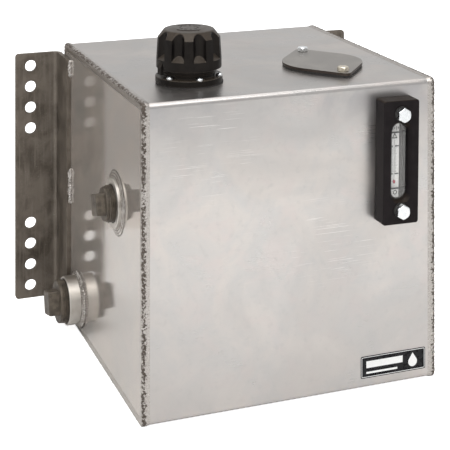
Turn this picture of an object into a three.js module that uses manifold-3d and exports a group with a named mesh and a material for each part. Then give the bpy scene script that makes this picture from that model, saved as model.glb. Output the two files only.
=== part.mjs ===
// A side-mounted hydraulic oil reservoir: a square welded steel tank with a filler-breather cap,
// a bolted clean-out cover, a level gauge, two plugged pipe ports and two mounting angles.
// Millimetres, +Z up. Origin at the centre of the tank's underside, +X right, +Y to the back.
import * as THREE from 'three';
import { mergeVertices } from 'three/addons/utils/BufferGeometryUtils.js';
import Module from 'manifold-3d';

const wasm = await Module();
wasm.setup();

// ------------------------------------------------------------------ driving dimensions
const TANK = { width: 412, depth: 402, height: 403, sheet: 3.2, bend: 7 };
const ANGLE = { leg: 70, thick: 6.35, length: 373.2, bottom: 12.4, behind: 32.4 };
const FILLER = { x: -109.1, y: -101, flangeRadius: 45.15, screwCircle: 40, screws: 6 };
const COVER = { x: 97.5, y: -75, radius: 56.5, earRadius: 8, earReach: 75.7, boltReach: 68.3 };
const GAUGE = { x: 143.2, z: 302.4, width: 52, height: 163, depth: 25, boltReach: 63.5, leanDegrees: 0.8 };
const UPPER_PORT = { y: -82.5, z: 245.4, outer: 33, bore: 24.5, stand: 6.5, reach: 16, weld: 9.5 };
const LOWER_PORT = { y: 115, z: 45.4, outer: 34, bore: 30.6, stand: 21.7, reach: 20, weld: 5.5 };
// A plug's threaded length ends at stand, its collar at face and its square head at end, all
// measured from the end plate.
const UPPER_PLUG = {
  thread: 24.15,
  engaged: 18,
  collar: 22,
  stand: 14.8,
  face: 18.4,
  square: 28.2,
  end: 30.8,
  turnDegrees: 17,
};
const LOWER_PLUG = {
  thread: 30.15,
  engaged: 20,
  collar: 29.5,
  stand: 29.5,
  face: 33,
  square: 33.3,
  end: 48.6,
  turnDegrees: 14,
};

const CONTACT = 0.1; // space left between flat faces that rest on each other
const RUNNING = 0.3; // space left round curved faces
const QUARTER = Math.PI / 2;

const LEFT = -TANK.width / 2;
const FRONT = -TANK.depth / 2;
const BACK = TANK.depth / 2;
const TOP = TANK.height;
const END_INSET = 3; // the end plates stop this far inside the wrap, which leaves room for the weld
const OVERRUN = 1; // how far a cutter runs past the face that it cuts

// ------------------------------------------------------------------ solids and booleans
function toSolid(geometry) {
  const bare = geometry.clone();
  bare.deleteAttribute('normal');
  bare.deleteAttribute('uv');
  const merged = mergeVertices(bare, 1e-4);
  const vertProperties = new Float32Array(merged.attributes.position.array);
  const triVerts = new Uint32Array(merged.index.array);
  return new wasm.Manifold(new wasm.Mesh({ numProp: 3, vertProperties, triVerts }));
}

function toGeometry(solid) {
  const mesh = solid.getMesh();
  const geometry = new THREE.BufferGeometry();
  geometry.setAttribute('position', new THREE.BufferAttribute(mesh.vertProperties, 3));
  geometry.setIndex(new THREE.BufferAttribute(mesh.triVerts, 1));
  geometry.computeVertexNormals();
  return geometry;
}

function cut(geometry, tools) {
  return toGeometry(tools.reduce((solid, tool) => solid.subtract(toSolid(tool)), toSolid(geometry)));
}

function join(geometry, others) {
  return toGeometry(others.reduce((solid, other) => solid.add(toSolid(other)), toSolid(geometry)));
}

function common(geometry, other) {
  return toGeometry(toSolid(geometry).intersect(toSolid(other)));
}

// ------------------------------------------------------------------ outlines
// Arcs are added a quarter at a time, so that every arc gets the same number of steps per degree.
function arc(path, x, y, radius, from, to) {
  const quarters = Math.max(1, Math.round(Math.abs(to - from) / QUARTER));
  const step = (to - from) / quarters;
  for (let i = 0; i < quarters; i += 1) {
    const start = from + i * step;
    path.lineTo(x + radius * Math.cos(start), y + radius * Math.sin(start));
    path.absarc(x, y, radius, start, start + step, step < 0);
  }
  return path;
}

function circle(x, y, radius, path = new THREE.Shape()) {
  path.moveTo(x + radius, y);
  return arc(path, x, y, radius, 0, 4 * QUARTER);
}

function roundedRectangle(x0, y0, x1, y1, radius) {
  const shape = new THREE.Shape();
  shape.moveTo(x1, y0 + radius);
  arc(shape, x1 - radius, y1 - radius, radius, 0, QUARTER);
  arc(shape, x0 + radius, y1 - radius, radius, QUARTER, 2 * QUARTER);
  arc(shape, x0 + radius, y0 + radius, radius, 2 * QUARTER, 3 * QUARTER);
  arc(shape, x1 - radius, y0 + radius, radius, 3 * QUARTER, 4 * QUARTER);
  return shape;
}

// A slot-shaped outline along Y with round ends.
function obround(halfWidth, halfStraight) {
  const reach = halfWidth + halfStraight;
  return roundedRectangle(-halfWidth, -reach, halfWidth, reach, halfWidth - 0.01);
}

function hexagon(acrossFlats, turn = 0) {
  const radius = acrossFlats / Math.sqrt(3);
  const corners = [0, 1, 2, 3, 4, 5].map((i) => {
    const angle = turn + (i * Math.PI) / 3;
    return new THREE.Vector2(radius * Math.cos(angle), radius * Math.sin(angle));
  });
  return new THREE.Shape(corners);
}

// ------------------------------------------------------------------ solids from outlines
// arcSteps is the number of steps in a quarter circle.
function slabZ(shape, z0, z1, arcSteps = 6) {
  const options = { depth: z1 - z0, bevelEnabled: false, curveSegments: arcSteps / 2 };
  return new THREE.ExtrudeGeometry(shape, options).translate(0, 0, z0);
}

// The outline's x and y become the slab's x and z.
function slabY(shape, y0, y1, arcSteps = 6) {
  return slabZ(shape, 0, y1 - y0, arcSteps).rotateX(QUARTER).translate(0, y1, 0);
}

// The outline's x and y become the slab's y and z.
function slabX(shape, x0, x1, arcSteps = 6) {
  return slabZ(shape, x0, x1, arcSteps).rotateX(QUARTER).rotateZ(QUARTER);
}

// A slab whose two ends are drawn in by a chamfer.
function chamferedSlabZ(shape, z0, z1, chamfer, arcSteps = 6) {
  const options = {
    depth: z1 - z0 - 2 * chamfer,
    bevelThickness: chamfer,
    bevelSize: chamfer,
    bevelOffset: -chamfer,
    bevelSegments: 1,
    curveSegments: arcSteps / 2,
  };
  return new THREE.ExtrudeGeometry(shape, options).translate(0, 0, z0 + chamfer);
}

// A tapered body between two convex outlines with the same number of points.
function loftedZ(lower, z0, upper, z1) {
  const arcDivisions = 3;
  const rings = [lower, upper].map((shape) => shape.getPoints(arcDivisions).slice(0, -1));
  const count = rings[0].length;
  const positions = rings.flatMap((points, level) => points.flatMap((p) => [p.x, p.y, level ? z1 : z0]));
  const triangles = [];
  for (let i = 0; i < count; i += 1) {
    const next = (i + 1) % count;
    triangles.push(i, next, count + next, i, count + next, count + i);
    if (i > 0 && next > 0) triangles.push(0, next, i, count, count + i, count + next);
  }
  const geometry = new THREE.BufferGeometry();
  geometry.setAttribute('position', new THREE.Float32BufferAttribute(positions, 3));
  geometry.setIndex(triangles);
  return geometry;
}

// A body turned about +Z. The outline is walked with the material on its left; it closes on
// itself unless it starts and ends on the axis.
function turned(outline, steps = 32) {
  const points = outline.map(([radius, z]) => new THREE.Vector2(radius, z));
  if (points[0].x > 0) points.push(points[0].clone());
  return new THREE.LatheGeometry(points, steps).rotateX(QUARTER);
}

function drillZ(x, y, radius, z0, z1, arcSteps = 6) {
  return slabZ(circle(x, y, radius), z0, z1, arcSteps);
}

function ring(inner, outer, z0, z1, steps = 20) {
  return turned([[inner, z0], [outer, z0], [outer, z1], [inner, z1]], steps);
}

// ------------------------------------------------------------------ materials
const LOOKS = {
  sheet: { color: 0xc4beb8, roughness: 0.42, metalness: 0.9 },
  weld: { color: 0xa39d97, roughness: 0.6, metalness: 0.8 },
  machined: { color: 0xc9c6c2, roughness: 0.3, metalness: 0.95 },
  hotRolled: { color: 0x554e46, roughness: 0.6, metalness: 0.6 },
  castIron: { color: 0x524b40, roughness: 0.65, metalness: 0.5 },
  sealant: { color: 0x2c2a28, roughness: 0.7, metalness: 0 },
  blackPlastic: { color: 0x26231f, roughness: 0.45, metalness: 0 },
  rubber: { color: 0x1b1a19, roughness: 0.8, metalness: 0 },
  zinc: { color: 0xdfe3e4, roughness: 0.25, metalness: 0.9 },
  creamZinc: { color: 0xd8ccb0, roughness: 0.4, metalness: 0.7 },
  coverSteel: { color: 0x8c8680, roughness: 0.4, metalness: 0.85 },
  mesh: { color: 0xb8b4ae, roughness: 0.35, metalness: 0.9 },
  foam: { color: 0x8d8a84, roughness: 0.95, metalness: 0 },
  scale: { color: 0xe9e9e6, roughness: 0.4, metalness: 0.1 },
  clear: { color: 0xdfe4e2, roughness: 0.08, metalness: 0, transparent: true, opacity: 0.35 },
  bulb: { color: 0x9c2430, roughness: 0.3, metalness: 0 },
  label: { color: 0x151515, roughness: 0.35, metalness: 0 },
};

function addPiece(parent, name, geometry, look) {
  const mesh = new THREE.Mesh(geometry, new THREE.MeshStandardMaterial(look));
  mesh.name = name;
  parent.add(mesh);
  return mesh;
}

const reservoir = new THREE.Group();

// ------------------------------------------------------------------ tank shell
// The four bends of the wrap in a counter-clockwise walk seen from the right, which starts and
// ends at the seam in the back wall.
const BENDS = [
  { y: BACK - TANK.bend, z: TOP - TANK.bend, from: 0 },
  { y: FRONT + TANK.bend, z: TOP - TANK.bend, from: QUARTER },
  { y: FRONT + TANK.bend, z: TANK.bend, from: 2 * QUARTER },
  { y: BACK - TANK.bend, z: TANK.bend, from: 3 * QUARTER },
];
const SEAM = { z: 40, gap: 2.4, halfCap: 3.5, proud: 0.9 };

function wrapOutline() {
  const inside = TANK.bend - TANK.sheet;
  const above = SEAM.z + SEAM.gap / 2;
  const below = SEAM.z - SEAM.gap / 2;
  const shape = new THREE.Shape();
  shape.moveTo(BACK, above);
  for (const bend of BENDS) arc(shape, bend.y, bend.z, TANK.bend, bend.from, bend.from + QUARTER);
  shape.lineTo(BACK, below);
  shape.lineTo(BACK - TANK.sheet, below);
  for (const bend of [...BENDS].reverse()) {
    arc(shape, bend.y, bend.z, inside, bend.from + QUARTER, bend.from);
  }
  shape.lineTo(BACK - TANK.sheet, above);
  return shape;
}

function screwPlaces() {
  return Array.from({ length: FILLER.screws }, (_, i) => {
    const angle = Math.PI / 6 + (i * 2 * Math.PI) / FILLER.screws;
    return {
      x: FILLER.screwCircle * Math.cos(angle),
      y: FILLER.screwCircle * Math.sin(angle),
    };
  });
}

const FILL_HOLE = 31.5;
const CLEANOUT_HOLE = 45;
const SCREW = { hole: 2.8, shank: 2.3, head: 4.5, tip: -8 };
const COVER_BOLT = { shank: 4.7, hole: 5.2, flats: 14.3, headHeight: 6, tip: -14 };
const GAUGE_BOLT = {
  shank: 6,
  hole: 6.5,
  flats: 17.3,
  headHeight: 9,
  tip: -14,
  bore: 2.4,
  crossHole: 1.6,
};
const GAUGE_LEAN = THREE.MathUtils.degToRad(GAUGE.leanDegrees);

function tankWrap() {
  const x0 = LEFT + TANK.sheet;
  const under = TOP - 2 * TANK.sheet;
  const over = TOP + TANK.sheet;
  const holes = [
    drillZ(FILLER.x, FILLER.y, FILL_HOLE, under, over, 8),
    drillZ(COVER.x, COVER.y, CLEANOUT_HOLE, under, over, 10),
  ];
  for (const { x, y } of screwPlaces()) {
    holes.push(drillZ(FILLER.x + x, FILLER.y + y, SCREW.hole, under, over, 2));
  }
  for (const side of [-1, 1]) {
    holes.push(drillZ(COVER.x, COVER.y + side * COVER.boltReach, COVER_BOLT.hole, under, over, 4));
    const reach = side * GAUGE.boltReach;
    const boltX = GAUGE.x + reach * Math.sin(GAUGE_LEAN);
    const boltZ = GAUGE.z + reach * Math.cos(GAUGE_LEAN);
    holes.push(slabY(circle(boltX, boltZ, GAUGE_BOLT.hole), FRONT - TANK.sheet, FRONT + 2 * TANK.sheet, 4));
  }
  return cut(slabX(wrapOutline(), x0, -x0, 4), holes);
}

function endPlate(x0, ports) {
  const outline = roundedRectangle(
    FRONT + END_INSET,
    END_INSET,
    BACK - END_INSET,
    TOP - END_INSET,
    TANK.bend - END_INSET,
  );
  for (const port of ports) {
    outline.holes.push(circle(port.y, port.z, port.outer + RUNNING, new THREE.Path()));
  }
  return slabX(outline, x0, x0 + TANK.sheet, 8);
}

// The outside corner weld that joins an end plate to the wrap: a section of [distance outside the
// wrap, x] points, rounded like a quarter circle and carried round the tank's cross-section.
function endWeld(side) {
  const steps = 4;
  const inner = -END_INSET + CONTACT;
  const plateFace = TANK.width / 2;
  const wrapEnd = plateFace - TANK.sheet + CONTACT;
  const section = [[inner, wrapEnd]];
  for (let i = 0; i <= steps; i += 1) {
    const angle = (QUARTER * i) / steps;
    const out = inner - inner * Math.cos(angle);
    section.push([out, wrapEnd + (plateFace - wrapEnd) * Math.sin(angle)]);
  }
  if (side > 0) section.reverse();
  const bendSteps = 4;
  const positions = [];
  const triangles = [];
  for (const bend of BENDS) {
    for (let i = 0; i <= bendSteps; i += 1) {
      const angle = bend.from + (QUARTER * i) / bendSteps;
      for (const [out, x] of section) {
        const radius = TANK.bend + out;
        positions.push(side * x, bend.y + radius * Math.cos(angle), bend.z + radius * Math.sin(angle));
      }
    }
  }
  const stations = positions.length / 3 / section.length;
  for (let i = 0; i < stations; i += 1) {
    const next = ((i + 1) % stations) * section.length;
    const here = i * section.length;
    for (let j = 0; j < section.length; j += 1) {
      const k = (j + 1) % section.length;
      triangles.push(here + j, here + k, next + k, here + j, next + k, next + j);
    }
  }
  const geometry = new THREE.BufferGeometry();
  geometry.setAttribute('position', new THREE.Float32BufferAttribute(positions, 3));
  geometry.setIndex(triangles);
  geometry.computeVertexNormals();
  return geometry;
}

// A flat bead that fills the gap in the back wall and lies a little over both edges outside.
function rearSeamWeld() {
  const x = TANK.width / 2 - TANK.sheet - 1;
  const half = SEAM.gap / 2 - CONTACT;
  const cap = SEAM.halfCap;
  const proud = SEAM.proud;
  const shape = new THREE.Shape([
    new THREE.Vector2(BACK - TANK.sheet, SEAM.z - half),
    new THREE.Vector2(BACK + CONTACT, SEAM.z - half),
    new THREE.Vector2(BACK + CONTACT, SEAM.z - cap),
    new THREE.Vector2(BACK + proud, SEAM.z - cap / 2),
    new THREE.Vector2(BACK + proud, SEAM.z + cap / 2),
    new THREE.Vector2(BACK + CONTACT, SEAM.z + cap),
    new THREE.Vector2(BACK + CONTACT, SEAM.z + half),
    new THREE.Vector2(BACK - TANK.sheet, SEAM.z + half),
  ]);
  return slabX(shape, -x, x);
}

// The baffle stands lengthwise, so that oil from the upper port goes round its right end on the
// way to the lower port. Its lower corners are cut off to let the tank drain.
const BAFFLE = { y: 5, right: 100, top: 270, drain: 22 };

function baffle() {
  const { y, right: x1, top: z1, drain } = BAFFLE;
  const x0 = LEFT + TANK.sheet + CONTACT;
  const z0 = TANK.sheet + CONTACT;
  const shape = new THREE.Shape([
    new THREE.Vector2(x0 + drain, z0),
    new THREE.Vector2(x1 - drain, z0),
    new THREE.Vector2(x1, z0 + drain),
    new THREE.Vector2(x1, z1),
    new THREE.Vector2(x0, z1),
    new THREE.Vector2(x0, z0 + drain),
  ]);
  return slabY(shape, y, y + TANK.sheet);
}

addPiece(reservoir, 'tank_wrap', tankWrap(), LOOKS.sheet);
addPiece(reservoir, 'end_plate_left', endPlate(LEFT, [UPPER_PORT, LOWER_PORT]), LOOKS.sheet);
addPiece(reservoir, 'end_plate_right', endPlate(-LEFT - TANK.sheet, []), LOOKS.sheet);
addPiece(reservoir, 'weld_bead_left_end', endWeld(-1), LOOKS.weld);
addPiece(reservoir, 'weld_bead_right_end', endWeld(1), LOOKS.weld);
addPiece(reservoir, 'rear_seam_weld', rearSeamWeld(), LOOKS.weld);
addPiece(reservoir, 'baffle_plate', baffle(), LOOKS.sheet);

// ------------------------------------------------------------------ pipe ports and their plugs
// Port pieces are built with +Z outwards from the end plate's outer face and +Y up.
function portGroup(port) {
  const group = new THREE.Group();
  group.position.set(LEFT, port.y, port.z);
  group.rotation.set(QUARTER, 0, -QUARTER, 'ZXY');
  reservoir.add(group);
  return group;
}

const PORT_LEAD = 0.9; // the countersink of a port's mouth
const PORT_EDGE = 0.6; // the chamfer of its outer edge

function portBody(port) {
  return turned([
    [port.bore, -port.reach],
    [port.outer, -port.reach],
    [port.outer, port.stand - PORT_EDGE],
    [port.outer - PORT_EDGE, port.stand],
    [port.bore + PORT_LEAD, port.stand],
    [port.bore, port.stand - PORT_LEAD],
  ]);
}

// A fillet weld round the port, thickest against it.
function portWeld(port) {
  const inner = port.outer + RUNNING / 2;
  const height = Math.min(port.stand - 0.8, port.weld);
  const outline = [[inner, CONTACT], [inner + port.weld, CONTACT]];
  for (const share of [0.75, 0.5, 0.25, 0]) {
    outline.push([inner + port.weld * share, CONTACT + height * Math.sqrt(1 - share * share)]);
  }
  return turned(outline);
}

// A ring of sealant squeezed out of the thread into the port's countersunk mouth.
function threadSealant(port) {
  const width = 0.6;
  const inner = port.bore - CONTACT;
  const top = port.stand + width / 3;
  return turned([[inner, top - width], [inner + width, top], [inner, top]]);
}

function pipePlug(plug, port) {
  const inner = port.stand - plug.engaged;
  const taper = (plug.stand - inner) / 32; // a pipe thread narrows by 1 in 16 on the diameter
  const body = turned([
    [0, inner],
    [plug.thread - taper - 1, inner],
    [plug.thread - taper, inner + 1],
    [plug.thread, plug.stand - 0.8],
    [plug.collar, plug.stand],
    [plug.collar, plug.face],
    [0, plug.face],
  ]);
  const half = plug.square / 2;
  const head = chamferedSlabZ(roundedRectangle(-half, -half, half, half, 2), plug.stand, plug.end, 1.5, 2);
  return join(body, [head.rotateZ(THREE.MathUtils.degToRad(plug.turnDegrees))]);
}

for (const [side, port, plug] of [['upper', UPPER_PORT, UPPER_PLUG], ['lower', LOWER_PORT, LOWER_PLUG]]) {
  const group = portGroup(port);
  const fitting = side === 'upper' ? 'bung' : 'coupling';
  addPiece(group, `${side}_port_${fitting}`, portBody(port), LOOKS.machined);
  addPiece(group, `${side}_${fitting}_weld`, portWeld(port), LOOKS.weld);
  addPiece(group, `${side}_thread_sealant`, threadSealant(port), LOOKS.sealant);
  addPiece(group, `${side}_plug`, pipePlug(plug, port), LOOKS.castIron);
}

// ------------------------------------------------------------------ filler neck and breather cap
// Built on the tank's top, with z = 0 on the sheet.
const fillerGroup = new THREE.Group();
fillerGroup.position.set(FILLER.x, FILLER.y, TOP);
reservoir.add(fillerGroup);

const FLANGE = { gasket: 1.5, top: 9.5, neck: 35, neckTop: 20, mouth: 33, mouthTop: 30, bore: 28 };
const BASKET = { radius: 24, skin: 0.8, depth: 95, lip: 35.8, slots: 12, slotWidth: 5, slotHeight: 70 };
const CAP = {
  skirt: 43.8,
  skirtInside: 40.8,
  skirtBottom: 20.3,
  band: 33,
  shoulder: 42,
  shoulderTop: 61,
  disc: 33,
  discTop: 71,
  crown: 72.5,
  chamber: 30,
  chamberTop: 60,
  flutes: 9,
  fluteRadius: 9,
  fluteCentre: 44,
  floorSlope: 0.9,
  firstLobeDegrees: -109,
};
const TAB = {
  inside: 41.5,
  outside: 46,
  bottom: 14,
  slopeBottom: 24.2,
  top: 30.8,
  width: 9.5,
  degrees: -168,
};
const SEAL_TOP = FLANGE.mouthTop + 1.9;
const ELEMENT = { inside: 14, outside: CAP.chamber - 0.5, bottom: SEAL_TOP + 3, top: CAP.chamberTop - 3 };
const BAYONET = {
  top: SEAL_TOP + 2.6,
  thick: 1.6,
  hole: 5,
  spigotInside: 22,
  spigotOutside: 26,
  spigotBottom: 22,
};
const BAYONET_VENTS = { count: 4, radius: 3, circle: 13.5 };

function screwHoles(z0, z1) {
  return screwPlaces().map(({ x, y }) => drillZ(x, y, SCREW.hole, z0, z1, 2));
}

function fillerFlange() {
  const seat = FLANGE.gasket + BASKET.skin + 3 * CONTACT;
  const body = turned([
    [FLANGE.bore, seat],
    [BASKET.lip + RUNNING, seat],
    [BASKET.lip + RUNNING, FLANGE.gasket],
    [FILLER.flangeRadius, FLANGE.gasket],
    [FILLER.flangeRadius, FLANGE.top - 0.8],
    [FILLER.flangeRadius - 0.8, FLANGE.top],
    [FLANGE.neck + 0.2, FLANGE.top],
    [FLANGE.neck, FLANGE.top + 0.2],
    [FLANGE.neck, FLANGE.neckTop],
    [FLANGE.mouth, FLANGE.neckTop],
    [FLANGE.mouth, FLANGE.mouthTop],
    [FLANGE.bore, FLANGE.mouthTop],
  ], 40);
  return cut(body, screwHoles(0, FLANGE.top + OVERRUN));
}

function panHeadScrew() {
  return turned([
    [0, SCREW.tip],
    [SCREW.shank - 1, SCREW.tip],
    [SCREW.shank, SCREW.tip + 1.5],
    [SCREW.shank, FLANGE.top + CONTACT],
    [SCREW.head, FLANGE.top + CONTACT],
    [SCREW.head, FLANGE.top + 1.6],
    [SCREW.head - 0.8, FLANGE.top + 2.9],
    [SCREW.head - 2.6, FLANGE.top + 3.6],
    [0, FLANGE.top + 3.8],
  ], 12);
}

function strainerBasket() {
  const lip = FLANGE.gasket + CONTACT;
  const inside = BASKET.radius - BASKET.skin;
  const cup = turned([
    [0, -BASKET.depth],
    [BASKET.radius, -BASKET.depth],
    [BASKET.radius, lip],
    [BASKET.lip, lip],
    [BASKET.lip, lip + BASKET.skin],
    [inside, lip + BASKET.skin],
    [inside, -BASKET.depth + BASKET.skin],
    [0, -BASKET.depth + BASKET.skin],
  ], 24);
  const slots = [];
  for (let i = 0; i < BASKET.slots; i += 1) {
    const angle = ((i + 0.5) * 2 * Math.PI) / BASKET.slots;
    const slot = new THREE.BoxGeometry(6, BASKET.slotWidth, BASKET.slotHeight);
    slots.push(slot.translate(BASKET.radius, 0, -0.55 * BASKET.depth).rotateZ(angle));
  }
  return cut(cup, slots);
}

// One upright flute of the cap's grip.
function fluteCutter(angle) {
  return drillZ(CAP.fluteCentre, 0, CAP.fluteRadius, CAP.band, CAP.crown + OVERRUN).rotateZ(angle);
}

// The cone that gives every flute a floor falling outwards to the skirt.
function fluteFloor() {
  const inside = CAP.chamber + 3;
  const outside = CAP.skirt - RUNNING;
  return turned([
    [inside, CAP.band - 0.5],
    [outside, CAP.band - 0.5],
    [outside, CAP.band],
    [inside, CAP.band + CAP.floorSlope * (outside - inside)],
  ], 48);
}

// The stop that hangs from the skirt, with a sloping top.
function skirtTab() {
  const side = new THREE.Shape([
    new THREE.Vector2(TAB.inside, TAB.bottom),
    new THREE.Vector2(TAB.outside, TAB.bottom),
    new THREE.Vector2(TAB.outside, TAB.slopeBottom),
    new THREE.Vector2(CAP.skirt - CONTACT, TAB.top),
    new THREE.Vector2(TAB.inside, TAB.top),
  ]);
  return slabY(side, -TAB.width / 2, TAB.width / 2).rotateZ(THREE.MathUtils.degToRad(TAB.degrees));
}

function fillerCap() {
  const body = turned([
    [0, CAP.chamberTop],
    [CAP.chamber, CAP.chamberTop],
    [CAP.chamber, SEAL_TOP + RUNNING],
    [CAP.skirtInside, SEAL_TOP + RUNNING],
    [CAP.skirtInside, CAP.skirtBottom],
    [CAP.skirt - 0.6, CAP.skirtBottom],
    [CAP.skirt, CAP.skirtBottom + 0.6],
    [CAP.skirt, CAP.band],
    [CAP.shoulder, CAP.shoulderTop],
    [CAP.disc + 1, CAP.discTop - 0.5],
    [CAP.disc - 1, CAP.discTop + 0.2],
    [CAP.disc / 2, CAP.crown - 0.4],
    [0, CAP.crown],
  ], 48);
  const pitch = (2 * Math.PI) / CAP.flutes;
  const firstFlute = THREE.MathUtils.degToRad(CAP.firstLobeDegrees) + pitch / 2;
  const cutters = Array.from({ length: CAP.flutes }, (_, i) => fluteCutter(firstFlute + i * pitch));
  return join(cut(body, cutters), [fluteFloor(), skirtTab()]);
}

// The pressed plate under the breather element: a disc with four vent holes and a short spigot
// that stands in the neck's mouth.
function bayonetPlate() {
  const { top, hole, spigotInside, spigotOutside, spigotBottom } = BAYONET;
  const disc = top - BAYONET.thick;
  const rim = CAP.chamber - RUNNING;
  const body = turned([
    [spigotInside, spigotBottom],
    [spigotOutside, spigotBottom],
    [spigotOutside, disc],
    [rim, disc],
    [rim, top],
    [hole, top],
    [hole, disc],
    [spigotInside, disc],
  ]);
  const vents = Array.from({ length: BAYONET_VENTS.count }, (_, i) => {
    const angle = ((i + 0.5) * 2 * Math.PI) / BAYONET_VENTS.count;
    const vent = drillZ(BAYONET_VENTS.circle, 0, BAYONET_VENTS.radius, disc - OVERRUN, top + OVERRUN, 2);
    return vent.rotateZ(angle);
  });
  return cut(body, vents);
}

function fillerGasket() {
  const body = ring(FLANGE.mouth, FILLER.flangeRadius, 0, FLANGE.gasket, 40);
  return cut(body, screwHoles(-OVERRUN, FLANGE.gasket + OVERRUN));
}

function capSeal() {
  return ring(FLANGE.bore + 0.5, FLANGE.mouth - 0.2, FLANGE.mouthTop + CONTACT, SEAL_TOP, 32);
}

addPiece(fillerGroup, 'filler_gasket', fillerGasket(), LOOKS.rubber);
addPiece(fillerGroup, 'filler_flange', fillerFlange(), LOOKS.blackPlastic);
addPiece(fillerGroup, 'strainer_basket', strainerBasket(), LOOKS.mesh);
screwPlaces().forEach(({ x, y }, i) => {
  const screw = addPiece(fillerGroup, `flange_screw_${i + 1}`, panHeadScrew(), LOOKS.zinc);
  screw.position.set(x, y, 0);
});
addPiece(fillerGroup, 'cap_seal', capSeal(), LOOKS.rubber);
addPiece(fillerGroup, 'bayonet_plate', bayonetPlate(), LOOKS.mesh);
const element = ring(ELEMENT.inside, ELEMENT.outside, ELEMENT.bottom, ELEMENT.top);
addPiece(fillerGroup, 'breather_element', element, LOOKS.foam);
addPiece(fillerGroup, 'filler_cap', fillerCap(), LOOKS.blackPlastic);

// ------------------------------------------------------------------ clean-out cover
const coverGroup = new THREE.Group();
coverGroup.position.set(COVER.x, COVER.y, TOP);
reservoir.add(coverGroup);

const COVER_STACK = { gasket: 3, plate: 3.5, gasketInset: 0.8 };

// A disc with two rounded ears, bounded by the tangents between the disc and the ears.
function coverOutline(shrink) {
  const radius = COVER.radius - shrink;
  const ear = COVER.earRadius - shrink;
  const tangent = Math.acos((radius - ear) / COVER.earReach);
  const up = QUARTER;
  const down = -QUARTER;
  const shape = new THREE.Shape();
  shape.moveTo(ear * Math.cos(up - tangent), COVER.earReach + ear * Math.sin(up - tangent));
  arc(shape, 0, COVER.earReach, ear, up - tangent, up + tangent);
  arc(shape, 0, 0, radius, up + tangent, down + 4 * QUARTER - tangent);
  arc(shape, 0, -COVER.earReach, ear, down - tangent, down + tangent);
  arc(shape, 0, 0, radius, down + tangent, up - tangent);
  return shape;
}

function coverLayer(shrink, z0, z1, opening) {
  const shape = coverOutline(shrink);
  for (const side of [-1, 1]) {
    shape.holes.push(circle(0, side * COVER.boltReach, COVER_BOLT.hole, new THREE.Path()));
  }
  if (opening > 0) shape.holes.push(circle(0, 0, opening, new THREE.Path()));
  return slabZ(shape, z0, z1);
}

function hexBolt(bolt, seat, turn) {
  const head = chamferedSlabZ(hexagon(bolt.flats, turn), seat, seat + bolt.headHeight, 0.7);
  const shank = turned([
    [0, bolt.tip],
    [bolt.shank - 1, bolt.tip],
    [bolt.shank, bolt.tip + 1],
    [bolt.shank, seat + 1],
    [0, seat + 1],
  ], 16);
  return join(head, [shank]);
}

// A nut under the sheet that the group's z = 0 lies on.
function hexNut(flats, bore, thick) {
  const shape = hexagon(flats);
  shape.holes.push(circle(0, 0, bore, new THREE.Path()));
  const top = -TANK.sheet - CONTACT;
  return slabZ(shape, top - thick, top, 4);
}

const NUT_THICK = { cover: 8, gauge: 7 };
const GAUGE_NUT_FLATS = 19;
const plateTop = COVER_STACK.gasket + COVER_STACK.plate;
const coverGasket = coverLayer(COVER_STACK.gasketInset, 0, COVER_STACK.gasket, CLEANOUT_HOLE);
addPiece(coverGroup, 'cover_gasket', coverGasket, LOOKS.rubber);
addPiece(coverGroup, 'cover_plate', coverLayer(0, COVER_STACK.gasket, plateTop, 0), LOOKS.coverSteel);
const coverBolts = [
  ['front', -1, LOOKS.creamZinc, 0.35],
  ['rear', 1, LOOKS.zinc, 0.1],
];
for (const [name, side, look, turn] of coverBolts) {
  const bolt = hexBolt(COVER_BOLT, plateTop + CONTACT, turn);
  addPiece(coverGroup, `cover_bolt_${name}`, bolt, look).position.y = side * COVER.boltReach;
  const nut = hexNut(COVER_BOLT.flats, COVER_BOLT.hole, NUT_THICK.cover);
  addPiece(coverGroup, `cover_nut_${name}`, nut, LOOKS.zinc).position.y = side * COVER.boltReach;
}

// ------------------------------------------------------------------ level and temperature gauge
// Built with +Z outwards from the tank's front face and +Y up, about the gauge's centre.
const gaugeGroup = new THREE.Group();
gaugeGroup.position.set(GAUGE.x, FRONT, GAUGE.z);
gaugeGroup.rotation.set(QUARTER, 0, -GAUGE_LEAN);
reservoir.add(gaugeGroup);

const WINDOW = { halfWidth: 11, halfStraight: 39, slope: 5, slopeDepth: 8, back: 5 };
const LENS = { front: GAUGE.depth - WINDOW.slopeDepth, thick: 1.6 };
const SCALE = { z: 12, thick: 0.8, right: 2.3 };
const TUBE = { x: -5, y0: -26, y1: 33, radius: 0.9, z: 14 };
const BULB = { halfWidth: 1.3, halfHeight: 1.7, halfDepth: 0.9, below: 2 };
const BOLT_SEAT = { radius: 11.5, depth: 1 };
const OIL_WAY = { radius: 2, z: 9, length: 18 };
const WASHER = { inner: 6.6, outer: 10.4, thick: 1.5 };
const WALL_SEAL = { inner: 6.8, outer: 9.6, thick: 2, pocket: 10, pocketDepth: 2.2 };

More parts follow.
